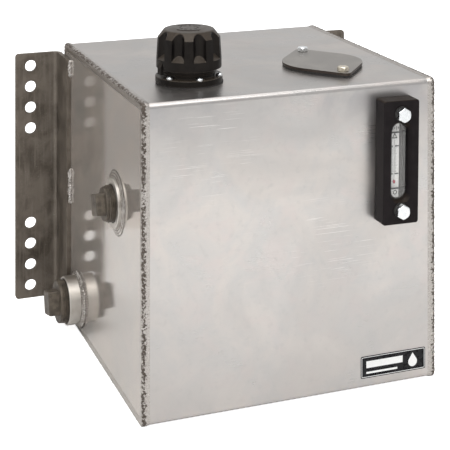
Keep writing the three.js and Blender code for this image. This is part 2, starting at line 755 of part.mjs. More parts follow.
function gaugeHousing() {
  const halfWidth = GAUGE.width / 2;
  const halfHeight = GAUGE.height / 2;
  const edge = 1.2;
  const corner = 3.5;
  const outline = roundedRectangle(-halfWidth, -halfHeight, halfWidth, halfHeight, corner);
  const block = chamferedSlabZ(outline, -2 * edge, GAUGE.depth, edge, 4);
  const behindWall = slabZ(roundedRectangle(-halfWidth - OVERRUN, -halfHeight - OVERRUN,
    halfWidth + OVERRUN, halfHeight + OVERRUN, corner), -3 * edge, CONTACT);
  const { slope, slopeDepth } = WINDOW;
  const floor = obround(WINDOW.halfWidth, WINDOW.halfStraight);
  const opening = obround(WINDOW.halfWidth + slope, WINDOW.halfStraight);
  const mouth = loftedZ(floor, GAUGE.depth - slopeDepth, opening, GAUGE.depth);
  const pocket = slabZ(floor, WINDOW.back, GAUGE.depth);
  const tools = [behindWall, mouth, pocket];
  for (const side of [-1, 1]) {
    const y = side * GAUGE.boltReach;
    tools.push(drillZ(0, y, GAUGE_BOLT.hole, -OVERRUN, GAUGE.depth + OVERRUN));
    tools.push(drillZ(0, y, BOLT_SEAT.radius, GAUGE.depth - BOLT_SEAT.depth, GAUGE.depth + OVERRUN));
    tools.push(drillZ(0, y, WALL_SEAL.pocket, -OVERRUN, WALL_SEAL.pocketDepth));
    const way = new THREE.CylinderGeometry(OIL_WAY.radius, OIL_WAY.radius, OIL_WAY.length, 12);
    tools.push(way.translate(0, side * (GAUGE.boltReach - OIL_WAY.length / 2), OIL_WAY.z));
  }
  return cut(block, tools);
}

// The bolts are hollow: oil passes from the tank through the shank and a cross hole to the window.
function gaugeBolt() {
  const { bore, crossHole, hole, tip } = GAUGE_BOLT;
  const solid = hexBolt(GAUGE_BOLT, GAUGE.depth - BOLT_SEAT.depth + WASHER.thick + CONTACT, QUARTER);
  const oilBore = drillZ(0, 0, bore, tip - OVERRUN, OIL_WAY.z + 2, 4);
  const cross = new THREE.CylinderGeometry(crossHole, crossHole, 3 * hole, 12).translate(0, 0, OIL_WAY.z);
  return cut(solid, [oilBore, cross]);
}

function insideWindow(z0, z1) {
  return slabZ(obround(WINDOW.halfWidth - RUNNING, WINDOW.halfStraight), z0, z1);
}

// A narrow plate: the window's outline, cut off to the right of the thermometer.
function gaugeScale() {
  const kept = new THREE.BoxGeometry(GAUGE.width, GAUGE.height, GAUGE.depth);
  kept.translate(SCALE.right - GAUGE.width / 2, 0, SCALE.z);
  return common(insideWindow(SCALE.z, SCALE.z + SCALE.thick), kept);
}

function thermometerTube() {
  const tube = new THREE.CylinderGeometry(TUBE.radius, TUBE.radius, TUBE.y1 - TUBE.y0, 12);
  return tube.translate(TUBE.x, (TUBE.y0 + TUBE.y1) / 2, TUBE.z);
}

addPiece(gaugeGroup, 'gauge_housing', gaugeHousing(), LOOKS.blackPlastic);
addPiece(gaugeGroup, 'gauge_lens', insideWindow(LENS.front - LENS.thick, LENS.front), LOOKS.clear);
addPiece(gaugeGroup, 'gauge_scale', gaugeScale(), LOOKS.scale);
addPiece(gaugeGroup, 'thermometer_tube', thermometerTube(), LOOKS.clear);
const bulb = new THREE.SphereGeometry(1, 12, 8).scale(BULB.halfWidth, BULB.halfHeight, BULB.halfDepth);
addPiece(gaugeGroup, 'thermometer_bulb', bulb.translate(TUBE.x, TUBE.y0 - BULB.below, TUBE.z), LOOKS.bulb);
for (const [name, side] of [['top', 1], ['bottom', -1]]) {
  const y = side * GAUGE.boltReach;
  const seat = GAUGE.depth - BOLT_SEAT.depth;
  const washer = ring(WASHER.inner, WASHER.outer, seat + CONTACT, seat + WASHER.thick);
  const seal = ring(WALL_SEAL.inner, WALL_SEAL.outer, CONTACT, WALL_SEAL.thick);
  const nut = hexNut(GAUGE_NUT_FLATS, GAUGE_BOLT.hole, NUT_THICK.gauge);
  addPiece(gaugeGroup, `gauge_bolt_${name}`, gaugeBolt(), LOOKS.zinc).position.y = y;
  addPiece(gaugeGroup, `gauge_washer_${name}`, washer, LOOKS.rubber).position.y = y;
  addPiece(gaugeGroup, `gauge_seal_${name}`, seal, LOOKS.rubber).position.y = y;
  addPiece(gaugeGroup, `gauge_nut_${name}`, nut, LOOKS.zinc).position.y = y;
}

// ------------------------------------------------------------------ mounting angles
const HOLES = { radius: 8.75, fromHeel: 46.8, end: 19.05, pitch: 31.75, perEnd: 4 };
const BEND_INSIDE = 6;
const CORNER_ROUND = 5;
const HEEL_Y = BACK + ANGLE.behind;
const TOE_Y = HEEL_Y - ANGLE.leg;

// The angle's section, bent from plate: one leg lies on the end plate, the other stands out.
function angleSection(side) {
  const inside = BEND_INSIDE;
  const x = (fromHeel) => side * (-LEFT + fromHeel);
  const bendX = inside + ANGLE.thick;
  const shape = new THREE.Shape();
  const steps = 5;
  shape.moveTo(x(0), TOE_Y);
  for (let i = 0; i <= steps; i += 1) {
    const angle = (QUARTER * i) / steps;
    shape.lineTo(x(bendX - bendX * Math.cos(angle)), HEEL_Y - bendX + bendX * Math.sin(angle));
  }
  shape.lineTo(x(ANGLE.leg), HEEL_Y);
  shape.lineTo(x(ANGLE.leg), HEEL_Y - ANGLE.thick);
  for (let i = steps; i >= 0; i -= 1) {
    const angle = (QUARTER * i) / steps;
    shape.lineTo(x(bendX - inside * Math.cos(angle)), HEEL_Y - bendX + inside * Math.sin(angle));
  }
  shape.lineTo(x(ANGLE.thick), TOE_Y);
  return shape;
}

function mountingAngle(side) {
  const z0 = ANGLE.bottom;
  const z1 = z0 + ANGLE.length;
  const inner = -LEFT - OVERRUN;
  const outer = -LEFT + ANGLE.leg;
  const round = CORNER_ROUND;
  const face = new THREE.Shape();
  face.moveTo(side * inner, z0);
  face.lineTo(side * inner, z1);
  const steps = 4;
  for (let i = steps; i >= 0; i -= 1) {
    const angle = (QUARTER * i) / steps;
    face.lineTo(side * (outer - round + round * Math.cos(angle)), z1 - round + round * Math.sin(angle));
  }
  for (let i = 0; i <= steps; i += 1) {
    const angle = (QUARTER * i) / steps;
    face.lineTo(side * (outer - round + round * Math.cos(angle)), z0 + round - round * Math.sin(angle));
  }
  const holeX = side * (-LEFT + HOLES.fromHeel);
  for (let i = 0; i < HOLES.perEnd; i += 1) {
    const reach = HOLES.end + i * HOLES.pitch;
    face.holes.push(circle(holeX, z0 + reach, HOLES.radius, new THREE.Path()));
    face.holes.push(circle(holeX, z1 - reach, HOLES.radius, new THREE.Path()));
  }
  return common(slabZ(angleSection(side), z0, z1), slabY(face, TOE_Y - OVERRUN, HEEL_Y + OVERRUN, 4));
}

// One stitch of fillet weld along the toe of the leg that lies on the end plate.
function stitchWeld(side, z0, z1) {
  const reach = 5.5;
  const x = side * (-LEFT + CONTACT);
  const y = TOE_Y - CONTACT;
  const shape = new THREE.Shape();
  shape.moveTo(x, y);
  const steps = 4;
  for (let i = 0; i <= steps; i += 1) {
    const angle = (QUARTER * i) / steps;
    shape.lineTo(x + side * reach * Math.cos(angle), y - reach * Math.sin(angle));
  }
  return slabZ(shape, z0, z1);
}

// Each stitch runs between two heights above the angle's lower end.
const STITCHES = [['upper', 346.8, 372.8], ['middle', 157.8, 210.8], ['lower', 0.4, 26.4]];
for (const [name, side] of [['left', -1], ['right', 1]]) {
  addPiece(reservoir, `bracket_${name}`, mountingAngle(side), LOOKS.hotRolled);
  for (const [place, z0, z1] of STITCHES) {
    const stitch = stitchWeld(side, ANGLE.bottom + z0, ANGLE.bottom + z1);
    addPiece(reservoir, `bracket_weld_${name}_${place}`, stitch, LOOKS.weld);
  }
}

// ------------------------------------------------------------------ blank label
const LABEL = { x0: 96, x1: 192, z0: 13.5, z1: 42.4, corner: 2, thick: 0.3 };
const labelOutline = roundedRectangle(LABEL.x0, LABEL.z0, LABEL.x1, LABEL.z1, LABEL.corner);
addPiece(reservoir, 'label', slabY(labelOutline, FRONT - LABEL.thick, FRONT, 4), LOOKS.label);

export default reservoir;
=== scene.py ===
"""Studio scene of a side-mounted hydraulic reservoir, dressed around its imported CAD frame.

Metres, +Z up, in the frame's own axes. Sizes and places come from the CAD nodes' boxes.
"""
import math

import bmesh
import bpy
import numpy as np
from mathutils import Matrix, Vector

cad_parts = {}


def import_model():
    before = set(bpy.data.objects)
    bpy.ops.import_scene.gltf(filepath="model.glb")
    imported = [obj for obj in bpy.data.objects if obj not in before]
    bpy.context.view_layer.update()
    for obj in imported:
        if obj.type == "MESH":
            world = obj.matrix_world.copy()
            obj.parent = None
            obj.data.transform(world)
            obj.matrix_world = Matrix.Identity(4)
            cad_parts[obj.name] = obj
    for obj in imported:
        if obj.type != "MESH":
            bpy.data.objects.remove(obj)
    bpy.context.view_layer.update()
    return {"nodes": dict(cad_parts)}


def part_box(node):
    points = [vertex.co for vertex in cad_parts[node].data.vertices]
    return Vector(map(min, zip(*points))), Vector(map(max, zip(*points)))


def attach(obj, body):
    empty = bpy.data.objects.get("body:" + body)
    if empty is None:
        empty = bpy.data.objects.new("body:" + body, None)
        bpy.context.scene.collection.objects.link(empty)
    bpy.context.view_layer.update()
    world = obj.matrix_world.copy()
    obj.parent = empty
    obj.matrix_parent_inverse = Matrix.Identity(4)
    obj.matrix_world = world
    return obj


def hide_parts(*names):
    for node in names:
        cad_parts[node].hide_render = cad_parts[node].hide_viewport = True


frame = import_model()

MM = 0.001
FULL = 2 * math.pi
rng = np.random.default_rng(7)


# ---------------------------------------------------------------- places taken from the frame
def middle(node):
    low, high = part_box(node)
    return (low + high) / 2


def size(node):
    low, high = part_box(node)
    return high - low


TANK_LOW, TANK_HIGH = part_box("tank_wrap")
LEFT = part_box("end_plate_left")[0].x
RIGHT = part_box("end_plate_right")[1].x
FRONT, BACK, TOP = TANK_LOW.y, TANK_HIGH.y, TANK_HIGH.z
SHEET = size("end_plate_left").x
BEND = 7 * MM  # outside radius of the wrap's bends


def facing(origin, out, up):
    """The matrix of a local frame at origin whose +Z points out and +Y points up."""
    out, up = Vector(out), Vector(up)
    right = up.cross(out)
    turn = Matrix((right, up, out)).transposed().to_4x4()
    return Matrix.Translation(Vector(origin)) @ turn


def turn_by(angle):
    """A turn about the local +Z."""
    return Matrix.Rotation(angle, 4, "Z")


def move_by(x, y):
    return Matrix.Translation((x, y, 0))


def on_left_end(node):
    centre = middle(node)
    return facing((LEFT, centre.y, centre.z), (-1, 0, 0), (0, 0, 1))


def on_top(node):
    centre = middle(node)
    return facing((centre.x, centre.y, TOP), (0, 0, 1), (0, 1, 0))


def on_front(node):
    centre = middle(node)
    return facing((centre.x, FRONT, centre.z), (0, -1, 0), (0, 0, 1))


# ---------------------------------------------------------------- outlines
def in_mm(corners):
    """Corners that are written in millimetres, in metres."""
    return [tuple(v * MM for v in corner) for corner in corners]


def rounded(corners, radius, closed=True, steps=4):
    """The polygon with its corners turned into arcs. A corner is (x, y) or (x, y, its radius)."""
    count = len(corners)
    points = []
    for i, corner in enumerate(corners):
        here = Vector(corner[:2])
        r = corner[2] if len(corner) > 2 else radius
        if r <= 0 or (not closed and i in (0, count - 1)):
            points.append(tuple(here))
            continue
        before = Vector(corners[i - 1][:2]) - here
        after = Vector(corners[(i + 1) % count][:2]) - here
        half = before.angle(after) / 2
        reach = min(r / math.tan(half), 0.49 * before.length, 0.49 * after.length)
        r = reach * math.tan(half)
        centre = here + (before.normalized() + after.normalized()).normalized() * r / math.sin(half)
        first = here + before.normalized() * reach - centre
        last = here + after.normalized() * reach - centre
        start = math.atan2(first.y, first.x)
        sweep = math.atan2(first.cross(last), first.dot(last))
        for k in range(steps + 1):
            angle = start + sweep * k / steps
            points.append((centre.x + r * math.cos(angle), centre.y + r * math.sin(angle)))
    return points


def circle(x, y, radius, steps=48):
    return arc_points(x, y, radius, 0, FULL, steps)[:-1]


def hexagon(across_flats):
    return circle(0, 0, across_flats / math.sqrt(3), 6)


def box_outline(width, height):
    x, y = width / 2, height / 2
    return [(-x, -y), (x, -y), (x, y), (-x, y)]


def arc_points(x, y, radius, start, end, steps):
    return [(x + radius * math.cos(start + (end - start) * k / steps),
             y + radius * math.sin(start + (end - start) * k / steps)) for k in range(steps + 1)]


# ---------------------------------------------------------------- meshes
def in_scene(name, data):
    """A new object in the scene."""
    obj = bpy.data.objects.new(name, data)
    bpy.context.scene.collection.objects.link(obj)
    return obj


def tidy_mesh(obj):
    """Merges doubled points and turns every face outwards."""
    bm = bmesh.new()
    bm.from_mesh(obj.data)
    bmesh.ops.remove_doubles(bm, verts=bm.verts, dist=1e-7)
    bmesh.ops.recalc_face_normals(bm, faces=bm.faces)
    bm.to_mesh(obj.data)
    bm.free()
    return obj


def skin(name, rows, place=Matrix(), loop=False, across=None):
    """A closed surface through rows of points; each row is a ring. loop joins the last row to the
    first, otherwise the end rows are capped. across, kept for shading, is one value per ring point
    or a column with one value per row."""
    rows = np.asarray(rows, float)
    count, width = rows.shape[:2]
    turn = np.array(place.to_3x3())
    points = rows.reshape(-1, 3) @ turn.T + np.array(place.translation)
    faces = []
    for i in range(count if loop else count - 1):
        a, b = i * width, ((i + 1) % count) * width
        for j in range(width):
            k = (j + 1) % width
            faces.append((a + j, a + k, b + k, b + j))
    if not loop:
        faces.append(tuple(reversed(range(width))))
        faces.append(tuple(range((count - 1) * width, count * width)))
    mesh = bpy.data.meshes.new(name)
    mesh.from_pydata(points.tolist(), [], faces)
    if across is not None:
        values = mesh.attributes.new("across", "FLOAT", "POINT")
        spread = np.broadcast_to(np.asarray(across, np.float32), (count, width))
        values.data.foreach_set("value", spread.ravel())
    return tidy_mesh(in_scene(name, mesh))


def level(outline, z):
    """The outline's points at height z."""
    return [(x, y, z) for x, y in outline]


def prism(name, outline, z0, z1, place=Matrix()):
    return skin(name, [level(outline, z0), level(outline, z1)], place)


def all_round(steps):
    return np.arange(steps) * FULL / steps


def ring_at(radius, angles, z):
    """A ring of points round the local +Z. radius and z are one number, or one for each angle."""
    return np.column_stack([radius * np.cos(angles), radius * np.sin(angles),
                            np.broadcast_to(z, angles.shape)])


def turned(name, profile, place=Matrix(), steps=72, shape=None):
    """A body turned about local +Z from (radius, z) points. shape(radius, angle, z) may change the
    radius. A profile that doesn't touch the axis closes on itself."""
    angles = all_round(steps)
    rows = [ring_at(shape(radius, angles, z) if shape else radius, angles, z) for radius, z in profile]
    on_axis = profile[0][0] < 1e-9
    return skin(name, rows, place, loop=not on_axis)


def bake(obj):
    """Applies the modifiers to the mesh."""
    depsgraph = bpy.context.evaluated_depsgraph_get()
    mesh = bpy.data.meshes.new_from_object(obj.evaluated_get(depsgraph))
    obj.modifiers.clear()
    obj.data = mesh
    return obj


def carve(obj, cutters, operation="DIFFERENCE"):
    for cutter in cutters:
        modifier = obj.modifiers.new("carve", "BOOLEAN")
        modifier.solver = "EXACT"
        modifier.operation = operation
        modifier.object = cutter
    bpy.context.view_layer.update()
    bake(obj)
    for cutter in cutters:
        bpy.data.objects.remove(cutter)
    return obj


def soften(obj, width, segments=3, angle=35):
    """Rounds the edges that are sharper than angle degrees."""
    modifier = obj.modifiers.new("soften", "BEVEL")
    modifier.width = width
    modifier.segments = segments
    modifier.limit_method = "ANGLE"
    modifier.angle_limit = math.radians(angle)
    modifier.use_clamp_overlap = True
    bpy.context.view_layer.update()
    return bake(obj)


def paint(obj, look):
    """Gives an object the material of its look, which is a material and the name of the slot that it fills.
    """
    material, slot = look
    obj.data.materials.clear()
    obj.data.materials.append(material)


def dress(obj, look, *nodes, body="tank", smooth=40):
    """Gives a piece its look and makes it ride on a body in place of CAD nodes."""
    obj.data.shade_smooth()
    obj.data.set_sharp_from_angle(angle=math.radians(smooth))
    weighted = obj.modifiers.new("flat faces stay flat", "WEIGHTED_NORMAL")
    weighted.keep_sharp = True
    if nodes:
        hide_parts(*nodes)
    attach(obj, body)
    paint(obj, look)
    return obj


def lumps(points, sizes, seed):
    """Smooth random heights, about -1 to 1, at points: a sum of sine waves in random directions."""
    random = np.random.default_rng(seed)
    total = np.zeros(len(points))
    for size_of_lump in sizes:
        for _ in range(7):
            direction = random.normal(size=3)
            direction *= FULL / size_of_lump / np.linalg.norm(direction)
            total += np.sin(points @ direction + random.uniform(0, FULL))
    return total / (2.6 * len(sizes))


# ---------------------------------------------------------------- finishes
class Finish:
    """One procedural material: a principled shader and the nodes that feed it."""

    def __init__(self, name, metallic=0.0, **inputs):
        self.material = bpy.data.materials.new(name)
        self.material.use_nodes = True
        self.tree = self.material.node_tree
        self.shader = self.tree.nodes["Principled BSDF"]
        self.place = self.tree.nodes.new("ShaderNodeTexCoord").outputs["Object"]
        self.normal = None
        self.set(Metallic=metallic, **inputs)

    def feed(self, socket, value):
        if isinstance(value, bpy.types.NodeSocket):
            self.tree.links.new(value, socket)
        elif socket.type == "RGBA" and not isinstance(value, float):
            socket.default_value = (*value[:3], 1.0)
        else:
            socket.default_value = value

    def set(self, **inputs):
        for key, value in inputs.items():
            self.feed(self.shader.inputs[key.replace("_", " ")], value)

    def node(self, kind, settings=None, **inputs):
        node = self.tree.nodes.new("ShaderNode" + kind)
        for key, value in (settings or {}).items():
            setattr(node, key, value)
        for key, value in inputs.items():
            self.feed(node.inputs[key.replace("_", " ")], value)
        return node

    def noise(self, length, stretch=(1, 1, 1), detail=3.0, roughness=0.5, turn=(0, 0, 0), warp=0.0):
        """Noise whose features are about length metres long, drawn out along each axis by stretch."""
        mapping = self.node("Mapping", Vector=self.place)
        mapping.inputs["Rotation"].default_value = turn
        mapping.inputs["Scale"].default_value = [1 / (length * s) for s in stretch]
        return self.node("TexNoise", Vector=mapping.outputs["Vector"], Scale=1.0, Detail=detail,
                         Roughness=roughness, Distortion=warp).outputs[0]

    def span(self, value, low, high, to_low=0.0, to_high=1.0):
        """Maps low..high of value to to_low..to_high, clamped, with smooth ends."""
        node = self.node("MapRange", {"interpolation_type": "SMOOTHSTEP"}, Value=value)
        for key, number in zip(("From Min", "From Max", "To Min", "To Max"), (low, high, to_low, to_high)):
            node.inputs[key].default_value = number
        return node.outputs["Result"]

    def math(self, operation, a, b=0.0):
        node = self.node("Math", {"operation": operation})
        self.feed(node.inputs[0], a)
        self.feed(node.inputs[1], b)
        return node.outputs[0]

    def mix(self, factor, a, b, how="MIX"):
        node = self.node("Mix", {"data_type": "RGBA", "blend_type": how})
        self.feed(node.inputs[0], factor)
        self.feed(node.inputs[6], a)
        self.feed(node.inputs[7], b)
        return node.outputs[2]

    def tones(self, noise, dark, pale):
        """A colour between dark and pale, as the noise goes."""
        return self.mix(self.span(noise, 0.3, 0.7), dark, pale)

    def rough(self, noise, low, high):
        """A roughness between low and high, as the noise goes."""
        return self.span(noise, 0.3, 0.7, low, high)

    def bump(self, height, depth):
        """Adds relief: height 0..1 stands for depth metres."""
        node = self.node("Bump", Height=height, Distance=depth, Strength=1.0)
        if self.normal:
            self.feed(node.inputs["Normal"], self.normal)
        self.normal = node.outputs["Normal"]
        self.set(Normal=self.normal)

    def attribute(self, name):
        return self.node("Attribute", {"attribute_name": name}).outputs["Fac"]

    def near(self, point, inside, outside):
        """1 within inside metres of a point, falling to 0 at outside metres."""
        gap = self.node("VectorMath", {"operation": "DISTANCE"})
        self.feed(gap.inputs[0], self.place)
        gap.inputs[1].default_value = point
        return self.span(gap.outputs["Value"], inside, outside, 1.0, 0.0)

    def along(self, axis):
        """The position along axis 0, 1 or 2, in metres."""
        return self.node("SeparateXYZ", Vector=self.place).outputs[axis]

    def upright(self):
        """1 on faces that stand upright, 0 on level ones."""
        normal = self.node("NewGeometry").outputs["True Normal"]
        z = self.node("SeparateXYZ", Vector=normal).outputs[2]
        return self.span(self.math("ABSOLUTE", z), 0.2, 0.6, 1.0, 0.0)

    def scratches(self, turn, length, rare, mask):
        """Fine straight marks about length metres long. rare is how high the noise has to be for
        one, and they stay where mask is 1."""
        width = 0.8 * MM
        marks = self.noise(width, (length / width, 1, 1), 1.0, 0.4, turn)
        patches = self.noise(0.05, (1, 1, 1), 2.0)
        sharp = self.span(marks, rare, rare + 0.03)
        return self.times(self.times(sharp, self.span(patches, 0.42, 0.58)), mask)

    def times(self, a, b):
        return self.math("MULTIPLY", a, b)


def steel_tones(f, light, lines):
    """The colours of cold-rolled sheet: pale warm grey with soft grey and pink clouds. light scales
    them, and lines stretches the rolling lines. Returns the colour, the clouds and the lines."""
    cloud = f.noise(0.075, detail=5.0, roughness=0.6, warp=0.8)
    tint = f.noise(0.030, detail=3.0, warp=0.5)
    small = f.noise(0.010, detail=4.0, roughness=0.6)
    pale = [light * c for c in (0.655, 0.612, 0.575)]
    grey = [light * c for c in (0.575, 0.556, 0.538)]
    pink = [light * c for c in (0.640, 0.575, 0.548)]
    base = f.mix(f.span(cloud, 0.36, 0.64), grey, pale)
    base = f.mix(f.span(tint, 0.48, 0.70, 0.0, 0.6), base, pink)
    base = f.mix(f.span(small, 0.50, 0.75, 0.0, 0.30), base, [0.8 * c for c in grey])
    hair = f.noise(0.0007, lines, 2.0, 0.6)
    return f.mix(f.span(hair, 0.40, 0.80, 0.0, 0.07), base, (0.84, 0.82, 0.80)), cloud, hair


def wrap_finish():
    """The wrap's sheet: satin, with painted shade that darkens it away from its middle height, towards its
    left end and lower down, a painted reflection band along the top of its upright faces, and groups of
    scratches.
    """
    f = Finish("tank sheet", metallic=1.0, Anisotropic=0.25)
    base, cloud, hair = steel_tones(f, 1.0, (200, 1, 1))
    # painted shade: the sheet's colour is darkened away from its middle height, towards its left end and
    # lower down
    from_middle = f.math("ABSOLUTE", f.math("SUBTRACT", f.along(2), 0.5 * TOP))
    darker_tone = f.span(from_middle, 0.18 * TOP, 0.50 * TOP, 0.0, 0.30)
    left = f.span(f.along(0), LEFT, 0.25 * LEFT, 0.12, 0.0)
    lower = f.span(f.along(2), 0.05 * TOP, 0.70 * TOP, 0.36, 0.0)
    base = f.mix(f.math("ADD", f.math("MAXIMUM", darker_tone, lower), left), base, (0.37, 0.355, 0.345))
    # painted reflection: a darker bluish band near the top of the upright faces, below the top bend
    top_band = f.times(f.span(f.along(2), 0.80 * TOP, 0.97 * TOP, 0.0, 0.50), f.upright())
    base = f.mix(f.times(top_band, f.span(cloud, 0.40, 0.60)), base, (0.36, 0.365, 0.385))
    patch = f.noise(0.20, detail=4.0, roughness=0.6, warp=1.0)
    base = f.mix(f.span(patch, 0.40, 0.64, 0.0, 0.32), base, (0.40, 0.388, 0.378))
    groups = f.math("MAXIMUM", f.near((0.55 * LEFT, FRONT, 0.83 * TOP), 30 * MM, 80 * MM),
                    f.near((0.25 * RIGHT, FRONT, 0.50 * TOP), 20 * MM, 90 * MM))
    marks = f.math("MAXIMUM", f.scratches((0, -0.20, 0.0), 0.080, 0.69, groups),
                   f.scratches((0, 0.24, 0.0), 0.050, 0.70, groups))
    f.set(Base_Color=f.mix(f.times(marks, 0.85), base, (0.93, 0.91, 0.89)))
    rough = f.rough(cloud, 0.28, 0.38)
    f.set(Roughness=f.math("ADD", rough, f.span(hair, 0.3, 0.8, -0.02, 0.04)))
    f.bump(f.noise(0.13, detail=1.0), 0.25 * MM)
    f.bump(f.noise(0.012, detail=3.0), 0.012 * MM)
    f.bump(marks, 0.02 * MM)
    return f.material


def end_finish():
    """The end plates: smoother and slightly browner sheet that mirrors its surroundings, with painted
    shade: the wrap's sheet tones scaled darker.
    """
    f = Finish("end plate sheet", metallic=0.64)
    # painted shade: the end plates take the sheet's tones scaled down to 0.78
    base, cloud, _ = steel_tones(f, 0.78, (1, 1, 100))
    spots = f.noise(0.0045, detail=3.0, roughness=0.6)
    base = f.mix(f.span(spots, 0.62, 0.72, 0.0, 0.35), base, (0.80, 0.77, 0.74))
    base = f.mix(1.0, base, (0.99, 0.955, 0.915), "MULTIPLY")
    f.set(Base_Color=base)
    rough = f.rough(cloud, 0.07, 0.12)
    f.set(Roughness=f.math("ADD", rough, f.span(spots, 0.5, 0.8, 0.0, 0.06)))
    f.bump(f.noise(0.16, detail=1.0), 0.06 * MM)
    f.bump(f.noise(0.012, detail=2.0), 0.006 * MM)
    return f.material


def weld_finish(name, dark_line, bright=1.0, pit=3.0 * MM):
    """Rippled weld metal, sanded bright, with dark scale left in its pits. dark_line is how much
    of the scale stays near the middle of the bead, and pit is the length of a pit."""
    f = Finish(name, metallic=1.0)
    pits = f.noise(pit, detail=4.0, roughness=0.65)
    fine = f.noise(0.0010, detail=3.0, roughness=0.7)
    off_middle = f.math("ABSOLUTE", f.math("SUBTRACT", f.attribute("across"), 0.18))
    middle_of_bead = f.span(off_middle, 0.15, 0.75, 1.0, -0.4)
    stretches = f.span(f.noise(0.022, detail=2.0), 0.36, 0.60, 0.62, 1.0)
    more = f.times(f.times(middle_of_bead, stretches), dark_line)
    knot = f.near((LEFT, FRONT, TOP), 6 * MM, 22 * MM)
    more = f.math("ADD", more, f.times(knot, 0.2 * dark_line))
    scale_here = f.span(f.math("ADD", pits, more), 0.60, 0.68)
    specks = f.span(fine, 0.62, 0.70)
    darker_tone = [bright * c for c in (0.34, 0.31, 0.285)]
    clean = [bright * c for c in (0.56, 0.53, 0.50)]
    base = f.mix(f.span(fine, 0.35, 0.65), darker_tone, clean)
    base = f.mix(scale_here, base, (0.070, 0.054, 0.042))
    f.set(Base_Color=f.mix(specks, base, (0.90, 0.89, 0.88)))
    f.set(Roughness=f.span(scale_here, 0.0, 1.0, 0.33, 0.70))
    f.set(Metallic=f.span(scale_here, 0.0, 1.0, 1.0, 0.3))
    f.bump(pits, 0.30 * MM)
    f.bump(fine, 0.12 * MM)
    return f.material


WELD_PASSES = 3  # passes side by side in the weld round a port


def ring_weld_finish():
    """The welds round the ports: bright metal, dark between its passes and at its toe."""
    f = Finish("ring weld", metallic=1.0)
    across = f.attribute("across")
    wobbly = f.math("ADD", across, f.times(f.noise(0.008, detail=3.0), 0.25))
    seam = f.span(f.math("COSINE", f.times(wobbly, WELD_PASSES / 2 * FULL)), 0.72, 0.95)
    toe = f.span(across, -1.0, -0.86, 1.0, 0.0)
    dark = f.times(f.math("MAXIMUM", seam, toe), f.span(f.noise(0.005, detail=3.0), 0.30, 0.46))
    fine = f.noise(0.0012, detail=3.0, roughness=0.7)
    base = f.mix(f.span(f.noise(0.010, detail=3.0), 0.35, 0.65), (0.34, 0.31, 0.28), (0.54, 0.51, 0.48))
    base = f.mix(dark, base, (0.065, 0.050, 0.040))
    f.set(Base_Color=f.mix(f.span(fine, 0.60, 0.68), base, (0.92, 0.91, 0.90)))
    f.set(Roughness=f.math("ADD", f.span(dark, 0.0, 1.0, 0.38, 0.62), f.span(fine, 0.3, 0.7, 0.0, -0.10)))
    f.bump(f.noise(0.0035, detail=4.0, roughness=0.6), 0.22 * MM)
    f.bump(fine, 0.05 * MM)
    return f.material


def turned_steel_finish():
    """A lathe-turned face: satin, with fine tool marks along the port's axis."""
    f = Finish("turned steel", metallic=1.0)
    marks = f.noise(0.0006, (1, 60, 60), 2.0)
    cloud = f.noise(0.02, detail=3.0)
    f.set(Base_Color=f.tones(cloud, (0.50, 0.47, 0.43), (0.60, 0.57, 0.53)))
    f.set(Roughness=f.rough(cloud, 0.38, 0.50))
    f.bump(marks, 0.03 * MM)
    f.bump(f.noise(0.004, detail=3.0), 0.05 * MM)
    return f.material


def cast_finish():
    """Malleable iron with a brown-black dry skin."""
    f = Finish("cast iron skin", metallic=0.35)
    grain = f.noise(0.0011, detail=4.0, roughness=0.65)
    cloud = f.noise(0.009, detail=3.0)
    base = f.tones(cloud, (0.060, 0.049, 0.038), (0.128, 0.105, 0.080))
    base = f.mix(f.span(grain, 0.55, 0.72, 0.0, 0.5), base, (0.24, 0.205, 0.165))
    f.set(Base_Color=base, Roughness=f.rough(grain, 0.42, 0.68))
    f.bump(grain, 0.16 * MM)
    f.bump(cloud, 0.20 * MM)
    return f.material


def mill_finish():
    """Hot-rolled plate: dark mill scale with lighter specks and long rolling streaks."""
    f = Finish("mill scale", metallic=0.55)
    streak = f.noise(0.004, (1, 1, 14), 4.0, 0.6)
    cloud = f.noise(0.030, detail=4.0, roughness=0.6, warp=0.5)
    specks = f.noise(0.0016, detail=3.0, roughness=0.7)
    base = f.mix(f.span(cloud, 0.32, 0.68), (0.080, 0.066, 0.052), (0.165, 0.140, 0.115))
    base = f.mix(f.span(streak, 0.45, 0.75, 0.0, 0.55), base, (0.21, 0.182, 0.152))
    base = f.mix(f.span(specks, 0.63, 0.72, 0.0, 0.7), base, (0.36, 0.34, 0.31))
    f.set(Base_Color=base, Roughness=f.rough(cloud, 0.40, 0.58))
    f.bump(specks, 0.06 * MM)
    f.bump(cloud, 0.15 * MM)
    return f.material


def plastic_finish(name, dark, pale, roughness, gloss, lighter_tone):
    """Moulded black nylon: fine grain, a dry sheen, uneven gloss, and painted top light: a paler colour on
    what faces up.
    """
    f = Finish(name)
    grain = f.noise(0.0007, detail=2.0)
    cloud = f.noise(0.014, detail=3.0)
    # painted sheen: faces that look up take the paler colour, as if lit from above
    lit_from_above = f.times(f.math("SUBTRACT", 1.0, f.upright()), f.span(cloud, 0.3, 0.7, 0.75, 1.0))
    base = f.tones(cloud, dark, pale)
    f.set(Base_Color=f.mix(lit_from_above, base, lighter_tone))
    f.set(Roughness=f.rough(cloud, roughness - 0.04, roughness + 0.06))
    f.set(Specular_IOR_Level=gloss, Specular_Tint=(1.0, 0.90, 0.80))
    f.bump(grain, 0.03 * MM)
    f.bump(cloud, 0.06 * MM)
    return f.material


def rubber_finish():
    """Black rubber with a little pale dust."""
    f = Finish("rubber")
    lighter_tone = f.noise(0.003, detail=4.0)
    f.set(Base_Color=f.mix(f.span(lighter_tone, 0.4, 0.8), (0.012, 0.011, 0.010), (0.035, 0.032, 0.030)))
    f.set(Roughness=f.rough(lighter_tone, 0.62, 0.80))
    f.bump(f.noise(0.0012, detail=2.0), 0.05 * MM)
    return f.material


